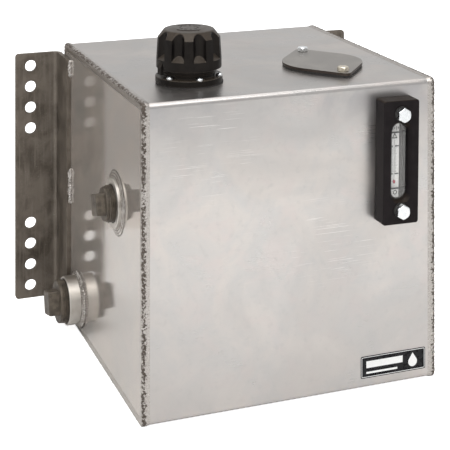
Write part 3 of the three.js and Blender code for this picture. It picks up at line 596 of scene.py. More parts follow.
def plated_finish(name, dark, pale, roughness=0.22):
    """Zinc plating: bright, with a cloudy passivation film and small dents."""
    f = Finish(name, metallic=1.0)
    cloud = f.noise(0.005, detail=3.0)
    dents = f.noise(0.0014, detail=2.0)
    f.set(Base_Color=f.tones(cloud, dark, pale))
    f.set(Roughness=f.rough(cloud, roughness, roughness + 0.12))
    f.bump(dents, 0.05 * MM)
    return f.material


def cover_finish():
    """The cover's phosphated sheet: brown-grey satin with faint brushing and darker upright edges."""
    f = Finish("cover sheet", metallic=0.85)
    hair = f.noise(0.0008, (60, 1, 1), 2.0)
    cloud = f.noise(0.028, detail=4.0, warp=0.4)
    base = f.tones(cloud, (0.235, 0.218, 0.200), (0.300, 0.282, 0.262))
    base = f.mix(f.span(hair, 0.5, 0.8, 0.0, 0.25), base, (0.42, 0.40, 0.38))
    f.set(Base_Color=f.mix(f.upright(), base, (0.070, 0.056, 0.048)))
    f.set(Roughness=f.rough(cloud, 0.34, 0.46))
    f.bump(hair, 0.02 * MM)
    f.bump(cloud, 0.10 * MM)
    return f.material


def plain_finish(name, dark, pale, grain, roughness, metallic=0.0, **inputs):
    """A small or hidden piece: two tones, uneven gloss and a little relief."""
    f = Finish(name, metallic=metallic, **inputs)
    cloud = f.noise(grain, detail=3.0)
    f.set(Base_Color=f.tones(cloud, dark, pale))
    f.set(Roughness=f.rough(cloud, roughness, min(1.0, roughness + 0.12)))
    f.bump(cloud, grain * 0.04)
    return f.material


def lens_finish():
    """Clear plastic that lets light through without refraction, with a soft surface reflection."""
    f = Finish("clear plastic", Alpha=0.12, IOR=1.45)
    cloud = f.noise(0.02, detail=2.0)
    f.set(Base_Color=f.mix(cloud, (0.75, 0.74, 0.72), (0.85, 0.84, 0.82)))
    f.set(Roughness=f.rough(cloud, 0.04, 0.10))
    f.bump(f.noise(0.012, detail=1.0), 0.03 * MM)
    return f.material


# each look is a material and the name of the slot that it fills
FRONT_SHEET = wrap_finish(), "tank_sheet"
END_SHEET = end_finish(), "tank_sheet"
CORNER_WELD = weld_finish("corner weld", 0.215, 1.0, 3.2 * MM), "weld_metal"
STITCH_WELD = weld_finish("stitch weld", 0.04, 0.9), "weld_metal"
RING_WELD = ring_weld_finish(), "weld_metal"
TURNED = turned_steel_finish(), "machined_steel"
CAST = cast_finish(), "cast_plug"
MILL = mill_finish(), "mill_steel"
# the last colour of each plastic is the painted top-light sheen on faces that look up
CAP_PLASTIC = plastic_finish("cap plastic", (0.003, 0.0026, 0.0028), (0.007, 0.006, 0.0055),
                             0.33, 0.20, (0.040, 0.032, 0.025)), "cap_plastic"
GAUGE_PLASTIC = plastic_finish("gauge plastic", (0.0105, 0.0090, 0.0100), (0.0145, 0.0122, 0.0132),
                               0.32, 0.07, (0.022, 0.017, 0.014)), "gauge_plastic"
RUBBER = rubber_finish(), "rubber"
ZINC = plated_finish("bright zinc", (0.78, 0.80, 0.81), (0.90, 0.92, 0.93)), "zinc_plate"
CREAM_ZINC = plated_finish("pale yellow zinc", (0.58, 0.53, 0.43), (0.72, 0.67, 0.57), 0.34), "cream_zinc"
COVER_SHEET = cover_finish(), "cover_steel"
SEALANT = plain_finish("thread sealant", (0.020, 0.017, 0.014), (0.050, 0.043, 0.036),
                       0.002, 0.55), "thread_sealant"
PRESSED = plain_finish("pressed steel", (0.50, 0.48, 0.46), (0.66, 0.64, 0.61),
                       0.004, 0.30, 1.0), "pressed_steel"
FOAM = plain_finish("filter foam", (0.20, 0.19, 0.17), (0.34, 0.33, 0.30), 0.0015, 0.85), "foam"
SCALE_WHITE = plain_finish("scale face", (0.74, 0.74, 0.72), (0.84, 0.84, 0.82), 0.003, 0.30), "scale_face"
PRINT_BLACK = plain_finish("black ink", (0.010, 0.010, 0.010), (0.030, 0.030, 0.030),
                           0.001, 0.45), "label_film"
PRINT_WHITE = plain_finish("white ink", (0.76, 0.76, 0.75), (0.84, 0.84, 0.83), 0.001, 0.40), "label_film"
LABEL_FILM = plain_finish("label film", (0.006, 0.006, 0.007), (0.012, 0.012, 0.013), 0.006, 0.22,
                          Specular_IOR_Level=0.15), "label_film"
BULB = plain_finish("thermometer fluid", (0.30, 0.02, 0.04), (0.46, 0.05, 0.08), 0.001, 0.15), "bulb_fill"
CLEAR = lens_finish(), "clear_lens"


# ---------------------------------------------------------------- tank shell
def tank_section(out, steps):
    """The four corner arcs of the tank's (y, z) section, moved outwards by out."""
    near_y, far_y, high_z = FRONT + BEND, BACK - BEND, TOP - BEND
    corners = [(far_y, high_z), (near_y, high_z), (near_y, BEND), (far_y, BEND)]
    return [arc_points(y, z, BEND + out, k * FULL / 4, (k + 1) * FULL / 4, steps)
            for k, (y, z) in enumerate(corners)]


def closed_section(out, bend_steps, pitch):
    """The cross-section with straight stretches cut into lengths of about pitch."""
    arcs = tank_section(out, bend_steps)
    points = []
    for k, arc in enumerate(arcs):
        points.extend(arc)
        end, start = np.array(arc[-1]), np.array(arcs[(k + 1) % 4][0])
        pieces = max(1, round(np.linalg.norm(start - end) / pitch))
        points.extend(tuple(end + (start - end) * i / pieces) for i in range(1, pieces))
    return points


FILLER_HOLE, COVER_HOLE = 31.5 * MM, 45 * MM  # radii of the two openings in the top
WAVE_DEPTH, STIFF_EDGE = 0.30 * MM, 30 * MM  # the sheet's waves, and the margin that has none


def wavy_rows(section, stations, x0, x1):
    """The section at each station along X, pressed in a little away from its bends and ends."""
    middle_z = TOP / 2
    from_y = BACK - np.abs(section[:, 0])
    from_z = middle_z - np.abs(section[:, 1] - middle_z)
    stiff = np.clip((np.maximum(from_y, from_z) - BEND) / STIFF_EDGE, 0, 1)
    stiff = stiff * (np.minimum(from_y, from_z) < SHEET + 1e-6)
    normal_y = np.where(from_y < SHEET + 1e-6, np.sign(section[:, 0]), 0)
    normal_z = np.where(normal_y == 0, np.sign(section[:, 1] - middle_z), 0)
    rows = []
    for x in stations:
        points = np.column_stack([np.full(len(section), x), section])
        calm = np.clip(min(x - x0, x1 - x) / STIFF_EDGE, 0, 1) * stiff
        wave = np.abs(lumps(points, (0.16, 0.24), 3) * WAVE_DEPTH * calm)
        points[:, 1] -= normal_y * wave
        points[:, 2] -= normal_z * wave
        rows.append(points)
    return rows


def tank_wrap():
    """The bent sheet, with the slight waviness of real plate between its edges."""
    bend_steps, pitch = 8, 12 * MM
    x0, x1 = TANK_LOW.x, TANK_HIGH.x
    outer = np.array(closed_section(0, bend_steps, pitch))
    inner = np.array(closed_section(-SHEET, bend_steps, pitch))
    stations = np.linspace(x0, x1, 33)
    rows = wavy_rows(outer, stations, x0, x1) + wavy_rows(inner, stations[::-1], x0, x1)
    wrap = skin("tank_wrap_sheet", rows, loop=True)
    filler, cover = middle("filler_cap"), middle("cover_plate")
    carve(wrap, [
        prism("filler_hole", circle(filler.x, filler.y, FILLER_HOLE), TOP - 2 * SHEET, TOP + SHEET),
        prism("cover_hole", circle(cover.x, cover.y, COVER_HOLE), TOP - 2 * SHEET, TOP + SHEET),
    ])
    return dress(wrap, FRONT_SHEET, "tank_wrap", smooth=25)


def corner_weld(side, name, node):
    """The outside corner weld round one end: a wide hand-run bead, sanded in places."""
    pitch, bend_steps = 0.9 * MM, 10
    reach_plate, reach_wrap = 9.0 * MM, 10.0 * MM
    ripple_pitch, root = 3.1 * MM, 2.4 * MM
    face = RIGHT if side > 0 else -LEFT
    across = np.linspace(-1, 1, 25)
    base = np.array(closed_section(0, bend_steps, pitch))
    normal = base - np.array(closed_section(-1 * MM, bend_steps, pitch))
    normal /= np.linalg.norm(normal, axis=1)[:, None]
    distance = np.concatenate([[0], np.cumsum(np.linalg.norm(np.diff(base, axis=0), axis=1))])
    # the bead's outline is a curve from the plate (across -1) to the wrap (across +1)
    t = (across + 1) / 2
    control = np.array([[-reach_plate, 0.02 * MM], [5.0 * MM, 5.2 * MM], [0.02 * MM, -reach_wrap]])
    weights = np.stack([(1 - t) ** 2, 2 * t * (1 - t), t ** 2], 1)
    outs, xs = (weights @ control).T
    hump = 1 - across ** 2
    stops = np.arange(0, distance[-1] + 20 * MM, 20 * MM)
    wander = np.interp(distance, stops, rng.normal(0, 0.16, len(stops)))
    rows = []
    for i, (point, out) in enumerate(zip(base, normal)):
        phase = distance[i] / ripple_pitch + 0.35 * (across - wander[i]) ** 2
        ripple = 0.5 - 0.5 * np.cos(FULL * phase)
        yz = point + out * outs[:, None]
        x = np.full(len(across), face) + xs
        points = np.column_stack([x, yz])
        rough = lumps(points, (2.3 * MM, 4.1 * MM), 11)
        rise = hump * (0.22 * ripple + 0.34 * rough) * MM
        points[:, 1:] += out * (rise * np.sqrt(t))[:, None]
        points[:, 0] += rise * np.sqrt(1 - t)
        back = np.array([[face - root, *(point - out * root)]])
        rows.append(np.concatenate([points, back]))
    rows = np.array(rows)
    rows[:, :, 2] = np.maximum(rows[:, :, 2], 0.0)
    rows[:, :, 0] *= side
    weld = skin(name, rows, loop=True, across=list(across) + [1.0])
    return dress(weld, CORNER_WELD, node, smooth=80)


tank_wrap()
corner_weld(-1, "corner_weld_left", "weld_bead_left_end")
corner_weld(1, "corner_weld_right", "weld_bead_right_end")


# ---------------------------------------------------------------- weld beads along a line
def line_bead(name, start, end, side_a, side_b, reach, node, seed):
    """A bead from start to end. side_a and side_b are the directions of its two toes, and reach is
    about how far they are from its root."""
    station_pitch, ripple_pitch, sunk = 0.8 * MM, 3.4 * MM, 0.4 * MM
    body, ripple, bumps = 0.74, 0.09, 0.20  # shares of the reach
    start, end = np.array(start), np.array(end)
    side_a, side_b = np.array(side_a, float), np.array(side_b, float)
    length = np.linalg.norm(end - start)
    count = max(12, round(length / station_pitch))
    across = np.linspace(-1, 1, 13)
    angle = (across + 1) / 2 * FULL / 4
    out = side_a[None] * np.cos(angle)[:, None] + side_b[None] * np.sin(angle)[:, None]
    rows = []
    for i in range(count + 1):
        s = i / count
        fade = math.sqrt(max(0.02, 1 - abs(2 * s - 1) ** 12))
        phase = s * length / ripple_pitch + 0.5 * across ** 2
        centre = start + (end - start) * s
        flat = centre + out * reach * 0.86
        rough = lumps(flat, (2.5 * MM, 7 * MM), seed)
        radius = reach * fade * (body + ripple * np.cos(FULL * phase) + bumps * rough)
        ring = centre + out * radius[:, None]
        rows.append(np.concatenate([ring, [centre - (side_a + side_b) * sunk]]))
    bead = skin(name, rows, across=list(across) + [1.0])
    return dress(bead, STITCH_WELD, node, smooth=80)


def bracket_stitches():
    """Three short welds down each mounting angle's heel."""
    for name, side in (("left", -1), ("right", 1)):
        for place in ("upper", "middle", "lower"):
            node = f"bracket_weld_{name}_{place}"
            low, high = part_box(node)
            x = low.x if side > 0 else high.x
            line_bead(f"stitch_weld_{name}_{place}", (x, high.y, low.z), (x, high.y, high.z),
                      (side, 0, 0), (0, -0.55, 0), size(node).x, node, 21)


def rear_seam():
    """The long bead that closes the bent sheet along the back."""
    low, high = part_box("rear_seam_weld")
    sunk, reach = 0.8 * MM, 1.9 * MM
    y, z = BACK - sunk, (low.z + high.z) / 2
    line_bead("rear_seam_bead", (low.x, y, z), (high.x, y, z), (0, 0.75, 1.6), (0, 0.75, -1.6),
              reach, "rear_seam_weld", 33)


bracket_stitches()
rear_seam()


# ---------------------------------------------------------------- pipe ports and plugs
def port_weld(name, node, place, body_radius, seed, fullness, lumpy):
    """A fillet round a port: a few passes side by side with a rough toe. fullness is the share of
    the CAD bead's height that it fills and lumpy the height of its bumps, in millimetres."""
    ripple_pitch, groove_depth, toe_wander = 3.6 * MM, 0.35, 0.9
    low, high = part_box(node)
    outer = (high.y - low.y) / 2
    height = (high.x - low.x) * fullness
    angles = all_round(260)
    across = np.linspace(-1, 1, 17)
    rows = []
    for a in across:
        t = (a + 1) / 2
        radius = outer - (outer - body_radius) * t
        lift = height * t ** 0.7
        rough = lumps(ring_at(radius, angles, lift), (3.0 * MM, 6.0 * MM), seed)
        ripple = np.cos(FULL * (angles * outer / ripple_pitch + 0.5 * a * a))
        hump = 1 - a ** 4
        groove = groove_depth * (0.5 + 0.5 * math.cos(FULL * WELD_PASSES * t)) ** 3
        rise = (hump * lumpy * (0.40 * ripple + 0.60 * rough) - groove) * MM
        spread = radius + (0.5 + 0.5 * rough) * (1 - t) * toe_wander * lumpy * MM
        rows.append(ring_at(spread, angles, np.maximum(lift + rise, 0.05 * MM)))
    for z in (height * 0.8, -0.5 * MM):
        rows.append(ring_at(body_radius - 1 * MM, angles, z))
    weld = skin(name, rows, place, loop=True, across=np.append(across, [1.0, 1.0])[:, None])
    return dress(weld, RING_WELD, node, smooth=80)


THREAD_PITCH = 25.4 / 11.5 * MM
THREAD_DEPTH = 1.35 * MM
PIPE_TAPER = 1 / 32  # of the radius, per unit of length


def plug_thread(name, radius, z0, z1, place):
    """A pipe thread as a helical ridge on a slightly tapered core."""
    angles = all_round(90)
    rows = []
    z, rows_a_turn = z0, 7
    while z < z1 + 1e-9:
        taper = (z1 - z) * PIPE_TAPER
        phase = (z / THREAD_PITCH - angles / FULL) % 1.0
        ridge = np.clip(1.25 * np.abs(2 * phase - 1) - 0.12, 0, 1)
        ends = min(1.0, (z - z0) / THREAD_PITCH + 0.15, (z1 - z) / THREAD_PITCH + 0.1)
        r = radius - taper - THREAD_DEPTH * (1 - ridge * ends)
        rows.append(ring_at(r, angles, z))
        z += THREAD_PITCH / rows_a_turn
    return skin(name, rows, place)


COLLAR = 3.6 * MM  # the height of a plug's collar


def pipe_plug(which, plate_to_face, collar_radius, square, turn):
    """A square-head plug: threaded body, collar and a cast head with soft corners. plate_to_face is
    how far the collar's outer face stands from the end plate, square the head's width."""
    node = f"{which}_plug"
    place = on_left_end(node)
    low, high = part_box(node)
    end, inner = LEFT - low.x, LEFT - high.x
    radius = size(node).y / 2
    collar_low = plate_to_face - COLLAR
    thread = plug_thread(node + "_thread", radius, inner, collar_low + 0.2 * MM, place)
    half = square / 2
    collar = turned(node + "_collar", rounded([
        (0, collar_low - 1 * MM), (collar_radius - 1.5 * MM, collar_low - 1 * MM),
        (collar_radius, collar_low), (collar_radius, plate_to_face, 1.0 * MM),
        (half, plate_to_face + 0.3 * MM), (0, plate_to_face + 0.3 * MM),
    ], 0.5 * MM, closed=False), place)
    spin = place @ turn_by(turn)
    outline = rounded(box_outline(square, square), 2.6 * MM, steps=5)
    heights = [(plate_to_face - 1 * MM, 1.02), (end - 2.6 * MM, 1.0), (end - 1.3 * MM, 0.985),
               (end - 0.5 * MM, 0.95), (end, 0.89)]  # each with the head's share of its width there
    rows = [level([(x * share, y * share) for x, y in outline], z) for z, share in heights]
    head = skin(node + "_head", rows, spin)
    dress(thread, CAST, body=node, smooth=32)
    dress(collar, CAST, body=node, smooth=32)
    dress(head, CAST, node, body=node, smooth=32)


PORT_LEAD = 0.9 * MM  # the countersink of a port's mouth


def port_fitting(node, bore, place, chamfer):
    """A turned ring round a bore, from inside the tank to its countersunk mouth."""
    low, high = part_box(node)
    outer = size(node).y / 2
    stand, inner = LEFT - low.x, LEFT - high.x
    profile = rounded([
        (bore, inner), (outer, inner), (outer, stand, chamfer), (bore + PORT_LEAD, stand, 0.3 * MM),
        (bore, stand - PORT_LEAD, 0.3 * MM),
    ], 0.4 * MM)
    fitting = turned(node + "_body", profile, place, steps=120)
    return dress(fitting, TURNED, node)


def ports():
    """A flat bung high up and a longer coupling low down, each with its weld and its plug."""
    for fitting, bore, chamfer in (("upper_port_bung", 24.5, 1.0), ("lower_port_coupling", 30.6, 1.2)):
        port_fitting(fitting, bore * MM, on_left_end(fitting), chamfer * MM)
    for bead, fitting, seed, fullness, lumpy in (("upper_bung", "upper_port_bung", 51, 0.55, 0.5),
                                                 ("lower_coupling", "lower_port_coupling", 52, 1.0, 1.7)):
        port_weld(bead + "_bead", bead + "_weld", on_left_end(fitting), size(fitting).y / 2,
                  seed, fullness, lumpy)
    pipe_plug("upper", 18.4 * MM, 22.0 * MM, 28.2 * MM, math.radians(17))
    pipe_plug("lower", 33.0 * MM, 29.5 * MM, 33.3 * MM, math.radians(14))


ports()


# ---------------------------------------------------------------- filler neck and cap
FILLER = on_top("filler_cap")
FLUTES = 9
FIRST_LOBE = math.radians(-109)
FLUTE_RADIUS, FLUTE_CENTRE = 9 * MM, 44 * MM
CAP_BAND = 33 * MM  # where the flutes start, above the tank's top
CAP_TOP = 72.4 * MM
SKIRT = 43.8 * MM
FLOOR_SLOPE = 0.9
FLANGE_SCREWS = 6


def flute_wall(angles):
    """How far the nearest flute's wall is from the cap's axis, along each angle."""
    pitch = FULL / FLUTES
    delta = (angles - FIRST_LOBE) % pitch - pitch / 2
    inside = FLUTE_RADIUS ** 2 - (FLUTE_CENTRE * np.sin(delta)) ** 2
    near = FLUTE_CENTRE * np.cos(delta) - np.sqrt(np.maximum(inside, 0.0))
    return np.where(inside > 0, near, 1.0)


def soft_min(a, b, width):
    """The smaller of a and b, with a smooth change from one to the other over width."""
    share = np.clip(0.5 + 0.5 * (b - a) / width, 0, 1)
    return b * (1 - share) + a * share - width * share * (1 - share)


def cap_radius(radius, angles, z):
    """The turned profile with flutes whose floors fall outwards to the skirt."""
    plain = np.full(len(angles), radius)
    if z < CAP_BAND + 0.1 * MM or radius < 30 * MM:
        return plain
    floor = SKIRT - 0.3 * MM - (z - CAP_BAND) / FLOOR_SLOPE
    return soft_min(plain, np.maximum(flute_wall(angles), floor), 1.0 * MM)


def subdivided(points, pitch):
    """The open profile with its straight stretches cut into lengths of at most pitch."""
    result = [points[0]]
    for a, b in zip(points, points[1:]):
        pieces = max(1, math.ceil(math.dist(a, b) / pitch))
        result.extend((a[0] + (b[0] - a[0]) * i / pieces, a[1] + (b[1] - a[1]) * i / pieces)
                      for i in range(1, pieces + 1))
    return result


def filler_cap():
    """The fluted shell, turned from its inside's middle to the rim and back over its outside."""
    inner = [(0, 60), (30, 60, 1), (30, 32.3, 0.3), (40.8, 32.3, 1), (40.8, 20.3, 0.3)]
    outer = [(43.8, 20.3, 0.9), (43.8, 33, 0.5), (42.0, 61, 1.6), (34.2, 70.2, 1.2), (32.6, 70.9, 0.4),
             (18, 72.1, 8), (0, 72.4)]
    profile = subdivided(rounded(in_mm(inner + outer), 0.4 * MM, closed=False, steps=5), 1.0 * MM)
    cap = turned("filler_cap_shell", profile, FILLER, steps=360, shape=cap_radius)
    dress(cap, CAP_PLASTIC, "filler_cap", body="cap", smooth=44)
    skirt_tab()
    cap_blocks()
    cap_arrows()


def skirt_tab():
    """The stop that hangs from the skirt, with a sloping top."""
    side = in_mm([(41.6, 14.1), (45.9, 14.1), (45.9, 24.2), (43.7, 30.6), (41.6, 30.6)])
    half_width = 4.7 * MM
    place = FILLER @ turn_by(math.radians(-168)) @ Matrix.Rotation(FULL / 4, 4, "X")
    tab = prism("cap_skirt_tab", rounded(side, 0.7 * MM), -half_width, half_width, place)
    dress(soften(tab, 0.5 * MM), CAP_PLASTIC, body="cap")


def cap_mark(name, outline, high=CAP_TOP, place=FILLER):
    """A mark that stands up from the cap's top."""
    mark = prism(name, outline, CAP_TOP - 1.4 * MM, high, place)
    dress(mark, CAP_PLASTIC, body="cap")


def cap_blocks():
    """A ring of raised blocks, short and long by turns."""
    blocks, ring, width = 11, 12 * MM, 2.2 * MM
    for k in range(blocks):
        length = (2.4 + 1.6 * (k % 2)) * MM
        place = FILLER @ turn_by(k * FULL / blocks) @ move_by(ring, 0)
        cap_mark(f"cap_block_{k + 1}", box_outline(width, length), CAP_TOP + 0.1 * MM, place)


def cap_arrows():
    """Two raised arrows that show the turning direction."""
    outer, inner, sweep = 21 * MM, 18.4 * MM, 1.5
    for k in range(2):
        start = math.radians(20 + 180 * k)
        end, tip = start + sweep, start + sweep + 0.28
        shaft = arc_points(0, 0, outer, start, end, 20) + arc_points(0, 0, inner, end, start, 20)
        cap_mark(f"cap_arrow_{k + 1}", shaft)
        head = [(radius * math.cos(angle), radius * math.sin(angle))
                for radius, angle in ((outer + 2.4 * MM, end), (19.7 * MM, tip), (inner - 2.4 * MM, end))]
        cap_mark(f"cap_arrow_point_{k + 1}", head)


def filler_flange():
    """The screwed ring and its ribbed neck, with a well and a hole for each screw."""
    ring = [(28, 2.6), (36.1, 2.6), (36.1, 1.5), (45.15, 1.5, 0.4), (45.15, 9.5, 1.2), (35.3, 9.5, 0.8)]
    rib = [(35, 12, 0.1), (36.2, 13, 0.3), (36.2, 14.6, 0.3), (35, 15.6, 0.1)]
    neck = [(35, 20, 0.8), (33, 20, 0.3), (33, 30, 0.8), (28, 30, 0.8)]
    flange = turned("filler_flange_body", rounded(in_mm(ring + rib + neck), 0.3 * MM), FILLER, steps=144)
    cutters = []
    for i in range(FLANGE_SCREWS):
        place = on_top(f"flange_screw_{i + 1}")
        cutters.append(prism("well", circle(0, 0, 5.0 * MM, 32), 8.6 * MM, 11.5 * MM, place))
        cutters.append(prism("hole", circle(0, 0, 2.7 * MM, 24), 0, 9.5 * MM, place))
    carve(flange, cutters)
    dress(flange, CAP_PLASTIC, "filler_flange", smooth=35)


def flange_screws():
    """Round-headed screws with a cross recess, each at its own angle."""
    shank = [(0, -8), (1.2, -8), (2.2, -5), (2.2, 8.8)]
    head = [(4.5, 8.8, 0.2), (4.5, 11.0, 1.0), (3.2, 12.5, 1.6), (0, 13.1)]
    profile = in_mm(rounded(shank + head, 0.2, closed=False, steps=5))
    for i in range(FLANGE_SCREWS):
        node = f"flange_screw_{i + 1}"
        place = on_top(node) @ turn_by(rng.uniform(0, FULL))
        screw = turned(node + "_head", profile, place, steps=40)
        slot = box_outline(5.2 * MM, 1.1 * MM)
        carve(screw, [prism("cross", slot, 11.2 * MM, 15 * MM, place @ turn_by(quarter))
                      for quarter in (0, FULL / 4)])
        dress(screw, ZINC, node)


filler_cap()
filler_flange()
flange_screws()


# ---------------------------------------------------------------- clean-out cover
COVER = on_top("cover_plate")
COVER_RADIUS, EAR_RADIUS, EAR_REACH = 56.5 * MM, 8 * MM, 75.7 * MM
COVER_BOLT_REACH, COVER_BOLT_HOLE = 68.3 * MM, 5.2 * MM


def cover_outline(shrink):
    """A disc with two rounded ears on its tangents."""
    radius, ear = COVER_RADIUS - shrink, EAR_RADIUS - shrink
    tangent = math.acos((radius - ear) / EAR_REACH)
    quarter = FULL / 4
    return (arc_points(0, EAR_REACH, ear, quarter - tangent, quarter + tangent, 12)
            + arc_points(0, 0, radius, quarter + tangent, 3 * quarter - tangent, 40)
            + arc_points(0, -EAR_REACH, ear, 3 * quarter - tangent, 3 * quarter + tangent, 12)
            + arc_points(0, 0, radius, -quarter + tangent, quarter - tangent, 40))


def hex_head(name, node, place, flats, seat, top, shank, look):
    """A forged hex head with a washer face and a chamfered crown, on its shank. seat and top are the
    heights of the head's ends, and shank is the shank's radius and the height of its end."""
    head = prism(name, hexagon(flats), seat + 0.5 * MM, top, place)
    beyond, under, over = flats / math.sqrt(3) * 1.05, seat - 1 * MM, top + 0.02 * MM
    crown = turned("crown", [(0, under), (beyond, under), (beyond, top - 2.2 * MM),
                             (flats / 2 * 0.93, over), (0, over)], place, steps=64)
    carve(head, [crown], "INTERSECT")
    radius, end = shank
    face, face_top = flats / 2 * 0.96, seat + 1.0 * MM
    stem = turned("stem", [(0, end), (radius - 0.8 * MM, end), (radius, end + 0.8 * MM), (radius, seat),
                           (face, seat), (face, face_top), (0, face_top)], place, steps=64)
    carve(head, [stem], "UNION")
    soften(head, 0.25 * MM, 2, 40)
    return dress(head, look, node, smooth=30)


def cover_cutter(radius, y, steps):
    return prism("hole", circle(0, y, radius, steps), -5 * MM, 20 * MM, COVER)


def cover_bolt_holes():
    return [cover_cutter(COVER_BOLT_HOLE, side * COVER_BOLT_REACH, 48) for side in (-1, 1)]


def cover():
    """The plate on its gasket, and the two bolts that hold them down."""
    low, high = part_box("cover_plate")
    gasket_low, gasket_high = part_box("cover_gasket")
    plate = prism("cover_plate_sheet", cover_outline(0), low.z - TOP, high.z - TOP, COVER)
    gasket = prism("cover_gasket_sheet", cover_outline(0.8 * MM), gasket_low.z - TOP, gasket_high.z - TOP,
                   COVER)
    carve(plate, cover_bolt_holes())
    carve(gasket, [*cover_bolt_holes(), cover_cutter(COVER_HOLE, 0, 64)])
    dress(soften(plate, 0.5 * MM), COVER_SHEET, "cover_plate")
    dress(soften(gasket, 0.3 * MM, 2), RUBBER, "cover_gasket")
    flats, shank, seat = 14.3 * MM, (4.7 * MM, -14 * MM), high.z - TOP + 0.1 * MM
    for name, side, look, angle in (("front", -1, CREAM_ZINC, 0.35), ("rear", 1, ZINC, 0.1)):
        node = f"cover_bolt_{name}"
        place = COVER @ move_by(0, side * COVER_BOLT_REACH) @ turn_by(angle)
        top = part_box(node)[1].z - TOP
        hex_head(node + "_hex", node, place, flats, seat, top, shank, look)


cover()


# ---------------------------------------------------------------- level and temperature gauge
GAUGE_AXIS = middle("gauge_bolt_top") - middle("gauge_bolt_bottom")
GAUGE_LEAN = math.atan2(GAUGE_AXIS.x, GAUGE_AXIS.z)
BOLT_REACH = GAUGE_AXIS.length / 2
GAUGE = on_front("gauge_housing") @ turn_by(-GAUGE_LEAN)
GAUGE_DEPTH = size("gauge_housing").y
GAUGE_CORNER = 3.5 * MM
WINDOW_HALF, WINDOW_STRAIGHT = 11 * MM, 39 * MM
WINDOW_SLOPE, WINDOW_DEPTH = 5 * MM, 8 * MM


def gauge_outline_size():
    """The leaning housing's own width and height, from its upright box and corner radius."""
    across = size("gauge_housing").x - 2 * GAUGE_CORNER
    up = size("gauge_housing").z - 2 * GAUGE_CORNER
    c, s = math.cos(GAUGE_LEAN), math.sin(GAUGE_LEAN)
    width = (across * c - up * s) / (c * c - s * s)
    height = (up * c - across * s) / (c * c - s * s)
    return width + 2 * GAUGE_CORNER, height + 2 * GAUGE_CORNER


def gauge_local(node):
    """The middle of a node in the gauge's own frame."""
    return GAUGE.inverted() @ middle(node)


def window_outline(half):
    """An upright slot with round ends, half of its width given."""
    return (arc_points(0, WINDOW_STRAIGHT, half, 0, FULL / 2, 16)
            + arc_points(0, -WINDOW_STRAIGHT, half, FULL / 2, FULL, 16))


def window_mouth():
    """The cutter for the window's mouth, which flares towards the housing's face."""
    steps = 6
    rows = []
    for k in range(steps + 1):
        share = k / steps
        swell = WINDOW_SLOPE * share ** 1.6
        rows.append(level(window_outline(WINDOW_HALF + swell), GAUGE_DEPTH - WINDOW_DEPTH * (1 - share)))
    rows.append(level(window_outline(WINDOW_HALF + WINDOW_SLOPE * 1.25), GAUGE_DEPTH + 2 * MM))
    return skin("mouth", rows, GAUGE)


def gauge_housing():
    """A soft-edged block with its window, and a seat and a bore for each bolt."""
    outline = rounded(box_outline(*gauge_outline_size()), GAUGE_CORNER, steps=5)
    block = prism("gauge_housing_body", outline, 0.1 * MM, GAUGE_DEPTH, GAUGE)
    soften(block, 1.3 * MM, 4, 60)
    carve(block, [window_mouth()])
    pocket_floor, pocket_top = 5 * MM, GAUGE_DEPTH - WINDOW_DEPTH + 0.5 * MM
    cutters = [prism("pocket", window_outline(WINDOW_HALF), pocket_floor, pocket_top, GAUGE)]
    seat, bore = circle(0, 0, 11.8 * MM, 64), circle(0, 0, 6.5 * MM, 32)
    for side in (-1, 1):
        place = GAUGE @ move_by(0, side * BOLT_REACH)
        cutters.append(prism("seat", seat, GAUGE_DEPTH - 1 * MM, GAUGE_DEPTH + 1 * MM, place))
        cutters.append(prism("bore", bore, -1 * MM, GAUGE_DEPTH, place))
    carve(block, cutters)
    dress(block, GAUGE_PLASTIC, "gauge_housing", smooth=35)


def bar(name, x0, x1, y, thick, z, place, relief=0.12 * MM):
    """A flat bar from x0 to x1 whose middle line is at y."""
    low, high = y - thick / 2, y + thick / 2
    return prism(name, [(x0, low), (x1, low), (x1, high), (x0, high)], z, z + relief, place)


def join(name, objects):
    """One object from several that touch nothing else."""
    bm = bmesh.new()
    for obj in objects:
        bm.from_mesh(obj.data)
        bpy.data.objects.remove(obj)
    mesh = bpy.data.meshes.new(name)
    bm.to_mesh(mesh)
    bm.free()
    return in_scene(name, mesh)


SCALE_LEFT = 0.3 * MM - WINDOW_HALF
SCALE_RIGHT = 2 * gauge_local("gauge_scale").x - SCALE_LEFT
SCALE_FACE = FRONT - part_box("gauge_scale")[0].y
LENS_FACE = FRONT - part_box("gauge_lens")[0].y
TUBE_X = gauge_local("thermometer_tube").x


def gauge_scale():
    """The white plate behind the window, cut short on its right."""
    outline = [(min(x, SCALE_RIGHT), y) for x, y in window_outline(-SCALE_LEFT)]
    plate = prism("gauge_scale_face", outline, SCALE_FACE - 0.8 * MM, SCALE_FACE, GAUGE)
    dress(plate, SCALE_WHITE, "gauge_scale")


def tube_marks(z):
    """Two short lines that the tube breaks, and fine degree ticks on both sides of it."""
    marks = []
    lines = ((SCALE_LEFT + 0.8 * MM, TUBE_X - 1.4 * MM), (TUBE_X + 1.4 * MM, SCALE_RIGHT - 0.6 * MM))
    for y in (18.8 * MM, -17.8 * MM):
        marks.extend(bar("short", x0, x1, y, 1.9 * MM, z, GAUGE) for x0, x1 in lines)
    ticks, pitch, gap = 17, 2 * MM, 1.5 * MM
    for k in range(ticks):
        y = k * pitch - 15 * MM
        reach = 2.6 * MM if k % 4 == 0 else 1.5 * MM
        for x0, x1 in ((TUBE_X + gap, TUBE_X + gap + reach), (TUBE_X - gap - reach, TUBE_X - gap)):
            marks.append(bar("tick", x0, x1, y, 0.6 * MM, z, GAUGE))
    return marks


